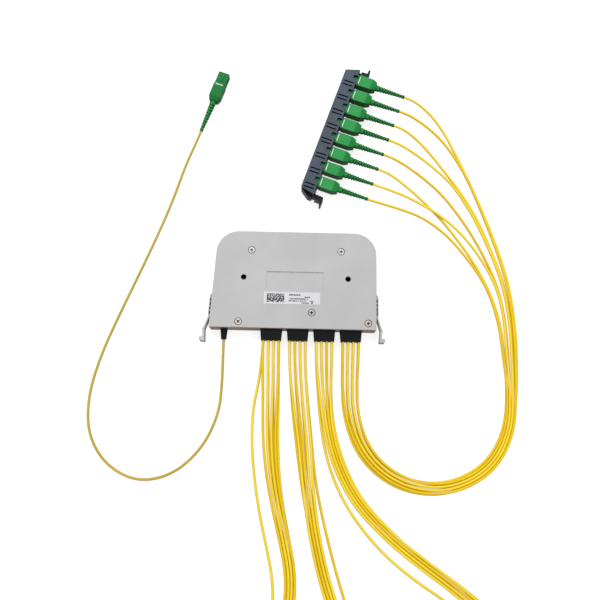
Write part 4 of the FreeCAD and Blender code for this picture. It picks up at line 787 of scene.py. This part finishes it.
def screw_profile():
    """The radius and depth of each ring down a screw's outside, from the edge of its flat top."""
    middle = HEAD_RADIUS - RIM_BEVEL
    # At the corners the flat top is drawn in, so that the bevel is full width along its sides.
    drawn_in = RIM_BEVEL / math.cos(math.pi / HEAD_SIDES) - RIM_BEVEL
    rings = []
    for degrees in RIM_ARC:
        angle = math.radians(degrees)
        radius = middle + RIM_BEVEL * math.sin(angle) - drawn_in * math.cos(angle)
        rings.append((radius, RIM_BEVEL * (1 - math.cos(angle))))
    end = HEAD_HEIGHT + SHANK_LENGTH
    return rings + [(HEAD_RADIUS, HEAD_HEIGHT), (SHANK_RADIUS, HEAD_HEIGHT),
                    (SHANK_RADIUS, end - TIP_LENGTH), (SHANK_RADIUS * TIP_SHARE, end)]


def ring(shape, spot, radii, depth, turn=0.0):
    """A level ring of corners about a spot and below it, with one corner for each radius."""
    corners = []
    for number, radius in enumerate(radii):
        way = turned(turn + 360 * number / len(radii)) @ Vector((radius, 0, -depth))
        corners.append(shape.verts.new((spot + way) * MM))
    return corners


def wall(shape, upper, lower):
    """Joins two rings of equally many corners."""
    for number, corner in enumerate(upper):
        shape.faces.new((corner, upper[number - 1], lower[number - 1], lower[number]))


def flat_top(shape, rim, cross, turn):
    """Joins a head's rim to its turned cross, each side of the cross to the rim's nearest sides."""
    first = round(turn * len(rim) / 360)
    sides = len(rim) // len(cross)
    for number, corner in enumerate(cross):
        nearest = [rim[(first + number * sides + step) % len(rim)] for step in range(sides + 1)]
        shape.faces.new([cross[number - len(cross) + 1], corner] + nearest)


def cover_screw(shape, x, y, turn):
    """Adds one screw: a head with a bevelled rim and a cross recess, and its shank."""
    spot = Vector((x, y, SCREW_TOP))
    outside = [ring(shape, spot, [radius] * HEAD_SIDES, depth) for radius, depth in screw_profile()]
    reach = [CROSS_REACH * CROSS_WAIST, CROSS_REACH, CROSS_REACH] * CROSS_ARMS
    cross = ring(shape, spot, reach, 0.0, turn)
    pit = ring(shape, spot, [radius * CROSS_FLOOR_SHARE for radius in reach], CROSS_DEPTH, turn)
    flat_top(shape, outside[0], cross, turn)
    wall(shape, cross, pit)
    shape.faces.new(pit)
    for upper, lower in zip(outside, outside[1:]):
        wall(shape, upper, lower)
    shape.faces.new(outside[-1])


def cover_screws():
    """All the cover screws as one piece, in place of the plain ones."""
    shape = bmesh.new()
    for x, y, turn in SCREWS:
        cover_screw(shape, x, y, turn)
    bmesh.ops.recalc_face_normals(shape, faces=shape.faces)
    piece = solid_piece("cover_screw_set", shape, FINISHES["screw"], "cassette")
    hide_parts("cover_screws")


cover_screws()


# ---------------------------------------------------------------- cords

def cord(name, points, finish):
    """A smooth cord whose line has the route's points as its control points."""
    curve = bpy.data.curves.new(name, "CURVE")
    curve.dimensions = "3D"
    spline = curve.splines.new("NURBS")
    spline.points.add(len(points) - 1)
    for spot, place in zip(spline.points, points):
        spot.co = (*(place * MM), 1.0)
    spline.order_u = 3
    spline.use_endpoint_u = True
    spline.resolution_u = 8
    curve.bevel_depth = CORD_DIAMETER * MM / 2
    curve.bevel_resolution = 3
    curve.use_fill_caps = True
    curve.materials.append(finish)
    piece = bpy.data.objects.new(name, curve)
    scene.collection.objects.link(piece)
    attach(piece, "cassette")
    return piece


def input_cord():
    """The input cord, olive yellow all along."""
    points = input_points()
    piece = cord("smooth_input_cord", points, OLIVE_YELLOW)
    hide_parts("input_cord")


def output_cord(group, number):
    """One output cord, every third in a deeper yellow."""
    points = cord_points(group, number)
    finish = DEEPER_YELLOW if (number + group) % 3 == 0 else FINISHES["cord"]
    piece = cord(f"smooth_cord_{group}_{number}", points, finish)
    if group == GROUPS:
        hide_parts(f"output_cord_{number}")
    else:
        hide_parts(f"cords_{group}")


input_cord()
for group in range(1, GROUPS + 1):
    for number in range(1, COUNT_IN_GROUP + 1):
        output_cord(group, number)


# ---------------------------------------------------------------- floor, light and camera

def floor():
    """A pale floor that takes shadows. Its glow is seen, also in metal and glass, but lights nothing."""
    shape = bmesh.new()
    bmesh.ops.create_grid(shape, x_segments=1, y_segments=1, size=FLOOR_REACH)
    bmesh.ops.translate(shape, verts=shape.verts, vec=(0, 0, -FLOOR_DROP))
    mesh = bpy.data.meshes.new("floor")
    shape.to_mesh(mesh)
    shape.free()
    made, tree, surface = material("floor white")
    path = node(tree, "LightPath")
    seen = maths(tree, "MAXIMUM", path.outputs["Is Camera Ray"], path.outputs["Is Glossy Ray"])
    seen = maths(tree, "MAXIMUM", seen, path.outputs["Is Transmission Ray"])
    # Painted shadow: the floor beneath the case doesn't glow, so the bores look dark.
    shaded_under = inside(tree, place_on(tree), CASE_SHADOW_PATCH)
    seen = maths(tree, "MULTIPLY", seen, maths(tree, "SUBTRACT", 1.0, shaded_under))
    glow = maths(tree, "MULTIPLY", seen, FLOOR_GLOW)
    fill(tree, surface, {"Base Color": colour(184, 184, 184), "Roughness": 0.9, "Specular IOR Level": 0.0,
                         "Emission Color": (1, 1, 1, 1), "Emission Strength": glow})
    piece = bpy.data.objects.new("floor", mesh)
    mesh.materials.append(made)
    scene.collection.objects.link(piece)


def soft_light(name, place, target, size, power):
    """A square area light that points at a target, in metres and watts."""
    lamp = bpy.data.lights.new(name, "AREA")
    lamp.size = size
    lamp.energy = power
    piece = bpy.data.objects.new(name, lamp)
    piece.location = place
    piece.rotation_euler = (Vector(target) - Vector(place)).to_track_quat("-Z", "Y").to_euler()
    scene.collection.objects.link(piece)


def surroundings():
    """White surroundings, dimmer as a light than as they are seen."""
    world = bpy.data.worlds.new("plain surroundings")
    scene.world = world
    world.use_nodes = True
    tree = world.node_tree
    path = node(tree, "LightPath")
    strength = remap(tree, path.outputs["Is Camera Ray"], 0.0, 1.0, to_low=WORLD_LIGHT)
    fill(tree, tree.nodes["Background"], {"Strength": strength, "Color": (1, 1, 1, 1)})


def camera():
    lens = bpy.data.cameras.new("camera")
    lens.lens = LENS
    lens.sensor_width = SENSOR_WIDTH
    lens.clip_start = 0.01
    piece = bpy.data.objects.new("camera", lens)
    way = turned(CAMERA_TURN) @ turned(CAMERA_TILT, "X") @ turned(CAMERA_ROLL)
    piece.matrix_world = Matrix.Translation(CAMERA_PLACE) @ way
    scene.collection.objects.link(piece)
    scene.camera = piece


floor()
soft_light("key", (-0.25, 0.9, 1.3), (0, 0, 0), size=0.9, power=11.0)
soft_light("fill", (0.6, -0.7, 1.2), (0, -0.1, 0), size=1.2, power=3.6)
soft_light("rim", (-0.1, 1.5, 0.55), (0, 0, 0), size=0.5, power=6.0)
surroundings()
camera()
scene.view_settings.view_transform = "Standard"
